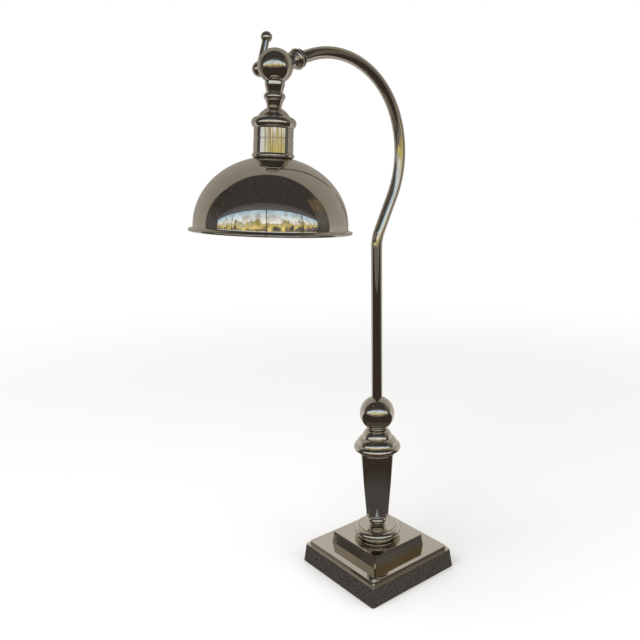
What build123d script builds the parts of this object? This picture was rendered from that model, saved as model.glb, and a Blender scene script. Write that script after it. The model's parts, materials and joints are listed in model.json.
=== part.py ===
from build123d import *
import math
import os

# A desk lamp of turned and spun metal. All sizes are in millimetres, +Z is up, the origin is the centre of
# the felt that the lamp stands on. The crook lies in the XZ plane, the shade hangs towards -X, and the clamp
# lever is on the +Y side of the knuckle.

# Fits and cuts that all pieces share
slide_gap = 0.2
running_gap = 0.05
cut_overrun = 2.0

# Square base: plinth, tier, and what closes and weighs it
base_side = 152.4
base_lean = 2.9
base_corner_radius = 4.0
plinth_height = 25.6
skirt_lift = 0.6
plinth_wall = 3.0
plinth_round = 1.2
lip_width = 4.0
riser_height = 4.6
tier_side = 92.6
tier_lean = 2.0
tier_height = 15.6
tier_wall = 3.0
tier_corner_radius = 1.6
tier_round = 0.8
felt_thickness = 1.6
felt_margin = 3.0
cover_thickness = 2.0
cover_gap = 0.8
cover_corner_radius = 2.0
weight_gap = 7.2
weight_corner_radius = 3.0
weight_recess_radius = 17.0
weight_recess_depth = 12.0
cord_slot_width = 9.0
cord_slot_depth = 13.0
screw_inset = 12.0
screw_radius = 2.0
screw_head_radius = 4.0
screw_length = 14.0
screw_spare = 1.0

# Cord inlet in the rear side of the plinth
inlet_height = 11.0
bushing_bore_radius = 3.6
bushing_body_radius = 5.8
bushing_body_length = 6.0
bushing_flange_radius = 8.5
bushing_flange_thickness = 1.8

# Round pieces stacked on the tie rod
rod_radius = 5.0
rod_bore_radius = 3.4
rod_grip = 14.0
rod_end = 1.0
washer_radius = 14.0
washer_thickness = 2.0
nut_across_flats = 15.0
nut_height = 7.0
moulding_radius = 32.8
moulding_band_radius = 30.4
moulding_foot_radius = 27.0
moulding_height = 14.2
moulding_top_radius = 25.6
moulding_wall = 5.0
moulding_groove = 0.8
bead_radius = 12.3
bead_height = 12.2
bead_seat_radius = 9.0
bead_head_radius = 8.5
column_height = 92.8
column_foot_radius = 15.5
column_band_radius = 15.7
column_band_height = 4.4
column_seat_radius = 14.0
column_head_radius = 23.0
column_wall = 2.5
column_floor = 5.0
ring_radius = 24.8
ring_height = 3.0
ring_spigot_depth = 3.0
capital_radius = 32.75
capital_height = 32.0
capital_cavity_radius = 17.0
capital_cavity_depth = 12.0
ball_collar_radius = 14.6
ball_collar_height = 3.6
ball_radius = 24.1

# Bent tube: straight stem, sway backwards, side arc, crown and the sloping arm
tube_radius = 7.5
tube_wall = 1.2
tube_seat = 3.0
stem_top = 454.5
sway_radius = 53.0
sway_angle = 26.7
sway_run = 52.0
side_radius = 135.0
side_angle = 20.0
crown_radius = 112.7
arm_slope = 19.0
arm_run = 54.0
tube_engagement = 10.0
lead_radius = 3.0
lead_tail = 1.0

# Collar at the end of the arm
collar_length = 15.0
collar_radius = 12.9
collar_end_radius = 9.3
collar_lead_radius = 4.2

# Ball knuckle of two halves on a stud
knuckle_radius = 21.1
knuckle_cavity_radius = 14.5
knuckle_split = 1.0
knuckle_clearance = 0.8
knuckle_boss_radius = 9.3
knuckle_boss_reach = 24.0
stud_radius = 3.0
stud_depth = 14.0
stud_boss_radius = 6.5
spot_face_radius = 8.0
disc_inner_radius = 15.2
disc_outer_radius = 19.5

# Clamp lever
clamp_washer_radius = 7.5
clamp_washer_thickness = 1.2
shank_radius = 5.6
hub_offset = 33.1
hub_radius = 9.6
lever_lean = 14.7
lever_length = 40.3
lever_root_radius = 5.0
lever_tip_radius = 4.2
lever_socket = 4.5
lever_ball_radius = 6.9

# Head, measured along its own axis downwards from the pivot; it leans outwards by head_tilt
head_tilt = 3.0
shoulder_radius = 11.7
shoulder_length = 5.0
neck_top = 30.0
neck_radius = 9.6
neck_bead_radius = 12.74
neck_waist_radius = 8.5
neck_length = 19.0
nipple_radius = 5.0
nipple_bore_radius = 3.5
nipple_grip = 6.0
cap_nut_across_flats = 14.0
cap_nut_height = 5.0
cup_cap_radius = 26.57
cup_cap_height = 24.0
cup_cap_crown = 6.5
cup_radius = 23.6
cup_wall = 1.8
sleeve_length = 29.0
sleeve_groove_width = 1.4
sleeve_groove_depth = 0.6
cup_ring_radius = 25.25
cup_ring_height = 5.5
gasket_radius = 22.5
gasket_thickness = 0.8
shade_radius = 92.0
shade_depth = 82.0
shade_crown_radius = 24.5
shade_wall = 1.2
shade_skirt = 1.2
shade_flare_height = 5.2
rim_flare = 5.4
rim_bead_radius = 1.7
holder_radius = 19.0
holder_skirt_radius = 17.6
holder_skirt_length = 7.0
holder_roof = 6.0
holder_length = 42.0
holder_shell_radius = 14.4
holder_shell_wall = 0.7
holder_shell_length = 28.0
holder_contact_radius = 9.0
holder_contact_height = 2.5
shade_nut_radius = 22.8
shade_nut_height = 5.0
bulb_cap_radius = 13.2
bulb_cap_length = 25.0
bulb_tip_radius = 4.5
bulb_tip_height = 2.0
bulb_neck_radius = 12.6
bulb_neck_length = 6.0
bulb_radius = 24.0
bulb_length = 62.0
bulb_wall = 0.9

# Levels of the stack above the floor
cover_level = felt_thickness
weight_level = cover_level + cover_thickness
panel_underside = plinth_height - plinth_wall
plinth_top = plinth_height + riser_height
tier_top = plinth_top + tier_height
bead_level = tier_top + moulding_height
column_level = bead_level + bead_height
ring_level = column_level + column_height
capital_level = ring_level + ring_height
ball_collar_level = capital_level + capital_height
ball_level = ball_collar_level + ball_collar_height
ball_centre = ball_level + math.sqrt(ball_radius**2 - ball_collar_radius**2)
tube_bottom = ball_centre + tube_seat
recess_top = weight_level + weight_recess_depth
nut_level = recess_top - washer_thickness - nut_height
rod_bottom = nut_level - rod_end
rod_hole_radius = rod_radius + slide_gap


os.makedirs("parts", exist_ok=True)


def finish(piece, name):
    """Name a piece and write it as its own file."""
    piece.part.label = name
    export_step(piece.part, "parts/" + name + ".step")


def scaled(shares, radius, height, level):
    """Points of a turned outline, from shares of its radius and height above a level."""
    return [(radius * across, level + height * up) for across, up in shares]


# Base plinth: leaning sides, a lip, a riser, and a hollow that is open below
lean_height = plinth_height - skirt_lift
with BuildPart() as base_plinth:
    with BuildSketch(Plane.XY.offset(skirt_lift)):
        RectangleRounded(base_side, base_side, base_corner_radius)
    with BuildSketch(Plane.XY.offset(plinth_height)):
        RectangleRounded(base_side - 2 * base_lean, base_side - 2 * base_lean, base_corner_radius)
    loft()
    fillet(base_plinth.edges().group_by(Axis.Z)[-1], plinth_round)
    panel_side = base_side - 2 * base_lean - 2 * lip_width
    with BuildSketch(Plane.XY.offset(plinth_height)):
        RectangleRounded(panel_side, panel_side, base_corner_radius)
    extrude(amount=riser_height)
    fillet(base_plinth.edges().group_by(Axis.Z)[-1], plinth_round)
    cavity_lean = base_lean * (panel_underside - skirt_lift) / lean_height
    cavity_side = base_side - 2 * plinth_wall
    with BuildSketch(Plane.XY.offset(skirt_lift)):
        RectangleRounded(cavity_side, cavity_side, cover_corner_radius)
    with BuildSketch(Plane.XY.offset(panel_underside)):
        RectangleRounded(cavity_side - 2 * cavity_lean, cavity_side - 2 * cavity_lean, cover_corner_radius)
    loft(mode=Mode.SUBTRACT)
    with BuildSketch(Plane.XY.offset(plinth_top)):
        Circle(rod_hole_radius)
    extrude(amount=-(plinth_top - panel_underside), mode=Mode.SUBTRACT)
    lean_angle = math.atan2(base_lean, lean_height)
    inlet_x = base_side / 2 - base_lean * (inlet_height - skirt_lift) / lean_height
    inlet_plane = Plane(
        origin=(inlet_x, 0, inlet_height),
        x_dir=(0, 1, 0),
        z_dir=(math.cos(lean_angle), 0, math.sin(lean_angle)),
    )
    with BuildSketch(inlet_plane):
        Circle(bushing_body_radius + slide_gap)
    extrude(amount=plinth_wall + cut_overrun, both=True, mode=Mode.SUBTRACT)
finish(base_plinth, "base_plinth")

# Bushing of the cord inlet: a flange outside and a sleeve through the wall
with BuildPart() as cord_bushing:
    with BuildSketch(inlet_plane):
        Circle(bushing_flange_radius)
        Circle(bushing_bore_radius, mode=Mode.SUBTRACT)
    extrude(amount=bushing_flange_thickness)
    with BuildSketch(inlet_plane):
        Circle(bushing_body_radius)
        Circle(bushing_bore_radius, mode=Mode.SUBTRACT)
    extrude(amount=-bushing_body_length)
finish(cord_bushing, "cord_bushing")

# Felt sheet and cover plate under the base
cover_side = base_side - 2 * plinth_wall - 2 * cover_gap
felt_side = cover_side - 2 * felt_margin
weight_side = base_side - 2 * plinth_wall - 2 * weight_gap
screw_spacing = weight_side - 2 * screw_inset
with BuildPart() as base_felt:
    with BuildSketch():
        RectangleRounded(felt_side, felt_side, cover_corner_radius)
    extrude(amount=felt_thickness)
finish(base_felt, "base_felt")

with BuildPart() as base_cover:
    with BuildSketch(Plane.XY.offset(cover_level)):
        RectangleRounded(cover_side, cover_side, cover_corner_radius)
    extrude(amount=cover_thickness)
    with Locations(Plane.XY.offset(cover_level)):
        with GridLocations(screw_spacing, screw_spacing, 2, 2):
            Cone(
                screw_head_radius + running_gap,
                screw_radius + running_gap,
                cover_thickness,
                align=(Align.CENTER, Align.CENTER, Align.MIN),
                mode=Mode.SUBTRACT,
            )
finish(base_cover, "base_cover")

# Cast weight inside the plinth, with a recess for the nut and a slot for the cord
with BuildPart() as base_weight:
    with BuildSketch(Plane.XY.offset(weight_level)):
        RectangleRounded(weight_side, weight_side, weight_corner_radius)
    extrude(amount=panel_underside - weight_level)
    with BuildSketch(Plane.XY.offset(panel_underside)):
        Circle(rod_hole_radius)
    extrude(amount=-(panel_underside - weight_level), mode=Mode.SUBTRACT)
    with BuildSketch(Plane.XY.offset(weight_level)):
        Circle(weight_recess_radius)
    extrude(amount=weight_recess_depth, mode=Mode.SUBTRACT)
    with BuildSketch(Plane.XY.offset(weight_level)):
        with Locations((weight_side / 4 + cut_overrun / 2, 0)):
            Rectangle(weight_side / 2 + cut_overrun, cord_slot_width)
    extrude(amount=cord_slot_depth, mode=Mode.SUBTRACT)
    with BuildSketch(Plane.XY.offset(weight_level)):
        with GridLocations(screw_spacing, screw_spacing, 2, 2):
            Circle(screw_radius + running_gap)
    extrude(amount=screw_length + screw_spare, mode=Mode.SUBTRACT)
finish(base_weight, "base_weight")

# Four countersunk screws hold the cover to the weight
with BuildPart() as cover_screws:
    with Locations(Plane.XY.offset(cover_level)):
        with GridLocations(screw_spacing, screw_spacing, 2, 2):
            Cone(
                screw_head_radius,
                screw_radius,
                cover_thickness,
                align=(Align.CENTER, Align.CENTER, Align.MIN),
            )
    with Locations(Plane.XY.offset(weight_level)):
        with GridLocations(screw_spacing, screw_spacing, 2, 2):
            Cylinder(screw_radius, screw_length, align=(Align.CENTER, Align.CENTER, Align.MIN))
finish(cover_screws, "cover_screws")

# Upper tier of the base, hollow below
with BuildPart() as base_tier:
    tier_top_side = tier_side - 2 * tier_lean
    with BuildSketch(Plane.XY.offset(plinth_top)):
        RectangleRounded(tier_side, tier_side, tier_corner_radius)
    with BuildSketch(Plane.XY.offset(tier_top)):
        RectangleRounded(tier_top_side, tier_top_side, tier_corner_radius)
    loft()
    fillet(base_tier.edges().group_by(Axis.Z)[-1], tier_round)
    tier_cavity_side = tier_top_side - 2 * tier_wall
    with BuildSketch(Plane.XY.offset(plinth_top)):
        RectangleRounded(tier_cavity_side, tier_cavity_side, tier_corner_radius)
    extrude(amount=tier_height - tier_wall, mode=Mode.SUBTRACT)
    with BuildSketch(Plane.XY.offset(tier_top)):
        Circle(rod_hole_radius)
    extrude(amount=-tier_height, mode=Mode.SUBTRACT)
finish(base_tier, "base_tier")

# Foot moulding: a narrow foot, a half-round band, a full swell and a groove round the flat top, hollow below
moulding_band_shares = (0.08, 0.34)
moulding_under_shares = [(0.91, 0.34), (0.972, 0.425), (1.0, 0.575)]
moulding_over_shares = (0.65, 0.72)
with BuildPart() as foot_moulding:
    band_level = tier_top + moulding_height * moulding_band_shares[0]
    band_top = tier_top + moulding_height * moulding_band_shares[1]
    band_edge = moulding_band_radius - (band_top - band_level) / 2
    under = scaled(moulding_under_shares, moulding_radius, moulding_height, tier_top)
    groove_edge = (moulding_top_radius + moulding_groove, bead_level - moulding_groove)
    over_point = (
        groove_edge[0] + (moulding_radius - groove_edge[0]) * moulding_over_shares[0],
        under[-1][1] + (groove_edge[1] - under[-1][1]) * moulding_over_shares[1],
    )
    with BuildSketch(Plane.XZ):
        with BuildLine():
            Polyline(groove_edge, (moulding_top_radius, bead_level - 2 * moulding_groove),
                     (moulding_top_radius, bead_level), (rod_hole_radius, bead_level),
                     (rod_hole_radius, bead_level - moulding_wall),
                     (moulding_top_radius - moulding_wall, bead_level - moulding_wall),
                     (moulding_top_radius - moulding_wall, tier_top), (moulding_foot_radius, tier_top),
                     (moulding_foot_radius, band_level), (band_edge, band_level))
            ThreePointArc((band_edge, band_level), (moulding_band_radius, (band_level + band_top) / 2),
                          (band_edge, band_top))
            Line((band_edge, band_top), under[0])
            ThreePointArc(*under)
            ThreePointArc(under[-1], over_point, groove_edge)
        make_face()
    revolve(axis=Axis.Z)
finish(foot_moulding, "foot_moulding")

# Barrel-shaped bead under the column
bead_swell_share = 0.48
with BuildPart() as foot_bead:
    with BuildSketch(Plane.XZ):
        with BuildLine():
            Polyline((bead_head_radius, column_level), (rod_hole_radius, column_level),
                     (rod_hole_radius, bead_level), (bead_seat_radius, bead_level))
            ThreePointArc((bead_seat_radius, bead_level),
                          (bead_radius, bead_level + bead_height * bead_swell_share),
                          (bead_head_radius, column_level))
        make_face()
    revolve(axis=Axis.Z)
finish(foot_bead, "foot_bead")

# Tapered column: a half-round band at its foot, hollow, closed below and open above
with BuildPart() as column:
    foot_top = column_level + column_band_height
    floor_top = column_level + column_floor
    column_bore_radius = column_foot_radius - column_wall
    with BuildSketch(Plane.XZ):
        with BuildLine():
            Polyline((column_seat_radius, foot_top), (column_foot_radius, foot_top),
                     (column_head_radius, ring_level),
                     (column_head_radius - column_wall, ring_level), (column_bore_radius, floor_top),
                     (rod_hole_radius, floor_top), (rod_hole_radius, column_level),
                     (column_seat_radius, column_level))
            ThreePointArc((column_seat_radius, column_level),
                          (column_band_radius, (column_level + foot_top) / 2), (column_seat_radius, foot_top))
        make_face()
    revolve(axis=Axis.Z)
finish(column, "column")

# Ring on top of the column, with a spigot that centres it in the column
with BuildPart() as column_ring:
    ring_edge = ring_radius - ring_height / 2
    spigot_bottom = ring_level - ring_spigot_depth
    spigot_taper = (column_head_radius - column_foot_radius) / (column_height - column_floor)
    spigot_radius = column_head_radius - column_wall - slide_gap - ring_spigot_depth * spigot_taper
    with BuildSketch(Plane.XZ):
        with BuildLine():
            Polyline((ring_edge, capital_level), (rod_hole_radius, capital_level),
                     (rod_hole_radius, spigot_bottom), (spigot_radius, spigot_bottom),
                     (spigot_radius, ring_level), (ring_edge, ring_level))
            ThreePointArc((ring_edge, ring_level), (ring_radius, (ring_level + capital_level) / 2),
                          (ring_edge, capital_level))
        make_face()
    revolve(axis=Axis.Z)
finish(column_ring, "column_ring")

# Capital: a sloping underside, a rounded rim and three swelling steps up to the ball
capital_rim_shares = [(0.93, 0.105), (0.985, 0.155), (1.0, 0.2125)]
capital_under_share = 0.75
capital_step_shares = [
    [(1.0, 0.2125), (0.965, 0.31), (0.885, 0.39)],
    [(0.861, 0.397), (0.793, 0.547), (0.672, 0.656)],
    [(0.641, 0.6625), (0.574, 0.8525), (0.44, 1.0)],
]
with BuildPart() as capital:
    rim = scaled(capital_rim_shares, capital_radius, capital_height, capital_level)
    steps = [scaled(shares, capital_radius, capital_height, capital_level) for shares in capital_step_shares]
    cavity_top = capital_level + capital_cavity_depth
    with BuildSketch(Plane.XZ):
        with BuildLine():
            Polyline(steps[-1][-1], (rod_hole_radius, ball_collar_level), (rod_hole_radius, cavity_top),
                     (capital_cavity_radius, cavity_top), (capital_cavity_radius, capital_level),
                     (capital_radius * capital_under_share, capital_level), rim[0])
            ThreePointArc(*rim)
            for step in steps:
                ThreePointArc(*step)
            for lower, upper in zip(steps, steps[1:]):
                Line(lower[-1], upper[0])
        make_face()
    revolve(axis=Axis.Z)
finish(capital, "capital")

# Small ring that seats the ball
with BuildPart() as ball_collar:
    collar_edge = ball_collar_radius - ball_collar_height / 2
    with BuildSketch(Plane.XZ):
        with BuildLine():
            Polyline((collar_edge, ball_level), (rod_hole_radius, ball_level),
                     (rod_hole_radius, ball_collar_level), (collar_edge, ball_collar_level))
            ThreePointArc((collar_edge, ball_collar_level),
                          (ball_collar_radius, (ball_collar_level + ball_level) / 2),
                          (collar_edge, ball_level))
        make_face()
    revolve(axis=Axis.Z)
finish(ball_collar, "ball_collar")

# Ball that joins the rod below to the tube above
with BuildPart() as stem_ball:
    with Locations((0, 0, ball_centre)):
        Sphere(ball_radius)
    split(bisect_by=Plane.XY.offset(ball_level), keep=Keep.TOP)
    with BuildSketch(Plane.XY.offset(ball_level)):
        Circle(rod_hole_radius)
    extrude(amount=tube_bottom - ball_level, mode=Mode.SUBTRACT)
    with BuildSketch(Plane.XY.offset(tube_bottom)):
        Circle(tube_radius + running_gap)
    extrude(amount=ball_radius, mode=Mode.SUBTRACT)
finish(stem_ball, "stem_ball")

# Hollow threaded rod, washer and nut that clamp the stack
with BuildPart() as tie_rod:
    with BuildSketch(Plane.XY.offset(rod_bottom)):
        Circle(rod_radius)
        Circle(rod_bore_radius, mode=Mode.SUBTRACT)
    extrude(amount=ball_level + rod_grip - rod_bottom)
finish(tie_rod, "tie_rod")

with BuildPart() as tie_washer:
    with BuildSketch(Plane.XY.offset(recess_top)):
        Circle(washer_radius)
        Circle(rod_hole_radius, mode=Mode.SUBTRACT)
    extrude(amount=-washer_thickness)
finish(tie_washer, "tie_washer")

with BuildPart() as tie_nut:
    with BuildSketch(Plane.XY.offset(nut_level)):
        RegularPolygon(nut_across_flats / 2, 6, major_radius=False)
        Circle(rod_hole_radius, mode=Mode.SUBTRACT)
    extrude(amount=nut_height)
finish(tie_nut, "tie_nut")

# The collar ends at the knuckle's boss, and the tube runs part of the way into it
collar_start = arm_run - knuckle_boss_reach - collar_length
tube_insert = collar_start + tube_engagement

# Centre line of the bent tube, from its seat in the ball to the end of the crown
with BuildLine(Plane.XZ) as crook_line:
    stem = Line((0, tube_bottom), (0, stem_top))
    sway = JernArc(stem @ 1, stem % 1, sway_radius, -sway_angle)
    rise = Line(sway @ 1, (sway @ 1) + (sway % 1) * sway_run)
    flank = JernArc(rise @ 1, rise % 1, side_radius, sway_angle + side_angle)
    crown = JernArc(flank @ 1, flank % 1, crown_radius, 90 - side_angle + arm_slope)
crown_end = crown @ 1
arm_direction = crown % 1
pivot = crown_end + arm_direction * arm_run
arm_up = Vector(0, 1, 0).cross(arm_direction)
arm_profile = Plane(origin=crown_end, x_dir=arm_up, z_dir=arm_up.cross(arm_direction))
arm_axis = Axis(crown_end, arm_direction)

# The tube and the lead inside it are swept along that line and on into the collar
with BuildPart() as crook_tube:
    with BuildLine() as tube_line:
        add(crook_line.line)
        Line(crown_end, crown_end + arm_direction * tube_insert)
    with BuildSketch(Plane.XY.offset(tube_bottom)):
        Circle(tube_radius)
        Circle(tube_radius - tube_wall, mode=Mode.SUBTRACT)
    sweep(path=tube_line.line)
finish(crook_tube, "crook_tube")

lead_run = arm_run - knuckle_boss_reach + lead_tail
with BuildPart() as stem_lead:
    with BuildLine() as lead_line:
        Line((0, 0, rod_bottom), (0, 0, tube_bottom))
        add(crook_line.line)
        Line(crown_end, crown_end + arm_direction * lead_run)
    with BuildSketch(Plane.XY.offset(rod_bottom)):
        Circle(lead_radius)
    sweep(path=lead_line.line)
finish(stem_lead, "stem_lead")

# Collar: a flange, a waist, a round ring and two beads, turned about the arm
collar_end = collar_start + collar_length
collar_bore_radius = tube_radius + running_gap
collar_relief_share = 0.26
collar_wall_share = 0.75
collar_wall = collar_radius - collar_bore_radius
collar_relief = min(collar_relief_share * collar_length, collar_wall_share * collar_wall)
collar_flange_shares = [(0.43, 0.0), (0.43, 0.10), (0.93, 0.12), (0.93, 0.19), (0.73, 0.19)]
collar_ring_shares = [(0.73, 0.19), (0.0, 0.42), (0.73, 0.65)]
collar_bead_shares = [
    [(0.73, 0.65), (0.54, 0.71), (0.73, 0.77)],
    [(0.73, 0.77), (0.60, 0.825), (0.80, 0.88)],
]


def on_collar(shares):
    """Points of the collar's outline, from shares of its relief below the crest and of its length."""
    points = []
    for below, far in shares:
        points.append((collar_radius - collar_relief * below, collar_start + collar_length * far))
    return points


with BuildPart() as arm_collar:
    flange = on_collar(collar_flange_shares)
    ring = on_collar(collar_ring_shares)
    beads = [on_collar(shares) for shares in collar_bead_shares]
    with BuildSketch(arm_profile):
        with BuildLine():
            Polyline((collar_end_radius, collar_end), (collar_lead_radius, collar_end),
                     (collar_lead_radius, tube_insert), (collar_bore_radius, tube_insert),
                     (collar_bore_radius, collar_start), *flange)
            ThreePointArc(*ring)
            for bead in beads:
                ThreePointArc(*bead)
            Line(beads[-1][-1], (collar_end_radius, collar_end))
        make_face()
    revolve(axis=arm_axis)
finish(arm_collar, "arm_collar")

# Planes and axes of the knuckle and the head
tilt = math.radians(head_tilt)
head_down = Vector(-math.sin(tilt), 0, -math.cos(tilt))
head_side = Vector(math.cos(tilt), 0, -math.sin(tilt))
head_profile = Plane(origin=pivot, x_dir=head_side, z_dir=head_side.cross(head_down))
head_axis = Axis(pivot, head_down)
pivot_axis = Axis(pivot, (0, 1, 0))
pivot_profile = Plane(origin=pivot, x_dir=(1, 0, 0), z_dir=(0, 0, 1))
half_split = knuckle_split / 2
sweep_radius = knuckle_radius + knuckle_clearance
boss_root = (knuckle_cavity_radius + knuckle_radius) / 2 - knuckle_clearance
stud_bore_radius = stud_radius + running_gap


def at_depth(radius, depth):
    """Distance from the axis of a circle's point at a depth."""
    return math.sqrt(radius**2 - depth**2)


def middle(radius, side):
    """Point of a circle half way between its axis and its edge."""
    return (radius * math.sin(math.pi / 4), side * radius * math.cos(math.pi / 4))


# Fixed half of the ball: the arm's boss, room for the other half, the half ball, and the way for the lead
with BuildPart() as knuckle_fixed:
    with BuildSketch(Plane(origin=pivot - arm_direction * boss_root, z_dir=-arm_direction)):
        Circle(knuckle_boss_radius)
    extrude(amount=knuckle_boss_reach - boss_root)
    with BuildSketch(pivot_profile):
        with BuildLine():
            Polyline((0, sweep_radius), (0, -half_split), (at_depth(sweep_radius, half_split), -half_split))
            ThreePointArc((at_depth(sweep_radius, half_split), -half_split), middle(sweep_radius, 1),
                          (0, sweep_radius))
        make_face()
    revolve(axis=pivot_axis, mode=Mode.SUBTRACT)
    with BuildSketch(pivot_profile):
        with BuildLine():
            Polyline((0, -knuckle_radius), (0, -stud_depth - running_gap),
                     (stud_bore_radius, -stud_depth - running_gap), (stud_bore_radius, -half_split),
                     (stud_boss_radius, -half_split),
                     (stud_boss_radius, -at_depth(knuckle_cavity_radius, stud_boss_radius)))
            ThreePointArc((stud_boss_radius, -at_depth(knuckle_cavity_radius, stud_boss_radius)),
                          middle(knuckle_cavity_radius, -1),
                          (at_depth(knuckle_cavity_radius, half_split), -half_split))
            Line((at_depth(knuckle_cavity_radius, half_split), -half_split),
                 (at_depth(knuckle_radius, half_split), -half_split))
            ThreePointArc((at_depth(knuckle_radius, half_split), -half_split), middle(knuckle_radius, -1),
                          (0, -knuckle_radius))
        make_face()
    revolve(axis=pivot_axis)
    with BuildSketch(Plane(origin=pivot - arm_direction * knuckle_boss_reach, z_dir=arm_direction)):
        Circle(collar_lead_radius)
    extrude(amount=knuckle_boss_reach - stud_boss_radius - cut_overrun, mode=Mode.SUBTRACT)
finish(knuckle_fixed, "knuckle_fixed")

# Friction disc between the halves
with BuildPart() as friction_disc:
    with BuildSketch(Plane(origin=pivot - Vector(0, half_split, 0), z_dir=(0, 1, 0))):
        Circle(disc_outer_radius)
        Circle(disc_inner_radius, mode=Mode.SUBTRACT)
    extrude(amount=knuckle_split)
finish(friction_disc, "friction_disc")

# Moving half of the ball, with the neck's shoulder and a spot face for the washer
spot_face = at_depth(knuckle_radius, spot_face_radius)
nipple_hole_radius = nipple_radius + slide_gap
nipple_top = neck_top - nipple_grip
with BuildPart() as knuckle_moving:
    with BuildSketch(head_profile):
        with BuildLine():
            Polyline((0, boss_root), (shoulder_radius, boss_root),
                     (shoulder_radius, boss_root + shoulder_length), (neck_radius, neck_top), (0, neck_top),
                     close=True)
        make_face()
    revolve(axis=head_axis)
    with BuildSketch(pivot_profile):
        with BuildLine():
            Polyline((0, -sweep_radius), (0, half_split), (at_depth(sweep_radius, half_split), half_split))
            ThreePointArc((at_depth(sweep_radius, half_split), half_split), middle(sweep_radius, -1),
                          (0, -sweep_radius))
        make_face()
    revolve(axis=pivot_axis, mode=Mode.SUBTRACT)
    with BuildSketch(pivot_profile):
        with BuildLine():
            Polyline((spot_face_radius, spot_face), (stud_bore_radius, spot_face),
                     (stud_bore_radius, half_split), (stud_boss_radius, half_split),
                     (stud_boss_radius, at_depth(knuckle_cavity_radius, stud_boss_radius)))
            ThreePointArc((stud_boss_radius, at_depth(knuckle_cavity_radius, stud_boss_radius)),
                          middle(knuckle_cavity_radius, 1),
                          (at_depth(knuckle_cavity_radius, half_split), half_split))
            Line((at_depth(knuckle_cavity_radius, half_split), half_split),
                 (at_depth(knuckle_radius, half_split), half_split))
            ThreePointArc((at_depth(knuckle_radius, half_split), half_split), middle(knuckle_radius, 1),
                          (spot_face_radius, spot_face))
        make_face()
    revolve(axis=pivot_axis)
    with BuildSketch(Plane(origin=pivot + head_down * neck_top, z_dir=-head_down)):
        Circle(nipple_hole_radius)
    extrude(amount=nipple_grip, mode=Mode.SUBTRACT)
    with BuildSketch(Plane(origin=pivot + head_down * neck_top, z_dir=-head_down)):
        Circle(nipple_bore_radius)
    extrude(amount=neck_top - stud_boss_radius - cut_overrun, mode=Mode.SUBTRACT)
finish(knuckle_moving, "knuckle_moving")

# Clamp lever: stud, washer, hub, tapered rod and ball end
washer_face = spot_face + clamp_washer_thickness
hub_centre = pivot + Vector(0, hub_offset, 0)
lean = math.radians(lever_lean)
lever_direction = Vector(math.sin(lean), 0, math.cos(lean))
with BuildPart(Plane(origin=pivot - Vector(0, stud_depth, 0), z_dir=(0, 1, 0))) as clamp_stud:
    Cylinder(stud_radius, stud_depth + hub_offset, align=(Align.CENTER, Align.CENTER, Align.MIN))
finish(clamp_stud, "clamp_stud")

with BuildPart() as clamp_washer:
    with BuildSketch(Plane(origin=pivot + Vector(0, spot_face, 0), z_dir=(0, 1, 0))):
        Circle(clamp_washer_radius)
        Circle(stud_bore_radius, mode=Mode.SUBTRACT)
    extrude(amount=clamp_washer_thickness)
finish(clamp_washer, "clamp_washer")

with BuildPart() as lever_hub:
    with Locations(hub_centre):
        Sphere(hub_radius)
    with BuildSketch(Plane(origin=pivot + Vector(0, washer_face, 0), z_dir=(0, 1, 0))):
        Circle(shank_radius)
    extrude(amount=hub_offset - washer_face)
    with BuildSketch(Plane(origin=pivot + Vector(0, washer_face, 0), z_dir=(0, 1, 0))):
        Circle(stud_bore_radius)
    extrude(amount=hub_offset - washer_face, mode=Mode.SUBTRACT)
    with BuildSketch(Plane(origin=hub_centre + lever_direction * (hub_radius - lever_socket),
                           z_dir=lever_direction)):
        Circle(lever_root_radius + running_gap)
    extrude(amount=hub_radius, mode=Mode.SUBTRACT)
finish(lever_hub, "lever_hub")

rod_start = hub_radius - lever_socket
rod_stop = lever_length - lever_ball_radius + lever_socket
with BuildPart(Plane(origin=hub_centre + lever_direction * rod_start, z_dir=lever_direction)) as lever_rod:
    Cone(
        lever_root_radius,
        lever_tip_radius,
        rod_stop - rod_start,
        align=(Align.CENTER, Align.CENTER, Align.MIN),
    )
finish(lever_rod, "lever_rod")

with BuildPart() as lever_ball:
    with Locations(hub_centre + lever_direction * lever_length):
        Sphere(lever_ball_radius)
    with BuildSketch(Plane(origin=hub_centre + lever_direction * rod_stop, z_dir=-lever_direction)):
        Circle(lever_tip_radius + slide_gap)
    extrude(amount=lever_ball_radius, mode=Mode.SUBTRACT)
finish(lever_ball, "lever_ball")

# Neck: a bead and a waist, turned about the head's axis
cap_level = neck_top + neck_length
neck_bead_shares = [(0.77, 0.06), (1.0, 0.25), (0.83, 0.50)]
neck_waist_shares = [(0.83, 0.55), (0.71, 0.80)]
with BuildPart() as neck_stem:
    bead = scaled(neck_bead_shares, neck_bead_radius, neck_length, neck_top)
    waist = scaled(neck_waist_shares, neck_bead_radius, neck_length, neck_top)
    with BuildSketch(head_profile):
        with BuildLine():
            Polyline((neck_waist_radius, cap_level), (nipple_hole_radius, cap_level),
                     (nipple_hole_radius, neck_top), (neck_radius, neck_top), bead[0])
            ThreePointArc(*bead)
            Line(bead[-1], waist[0])
            ThreePointArc(*waist, (neck_waist_radius, cap_level))
        make_face()
    revolve(axis=head_axis)
finish(neck_stem, "neck_stem")

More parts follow.
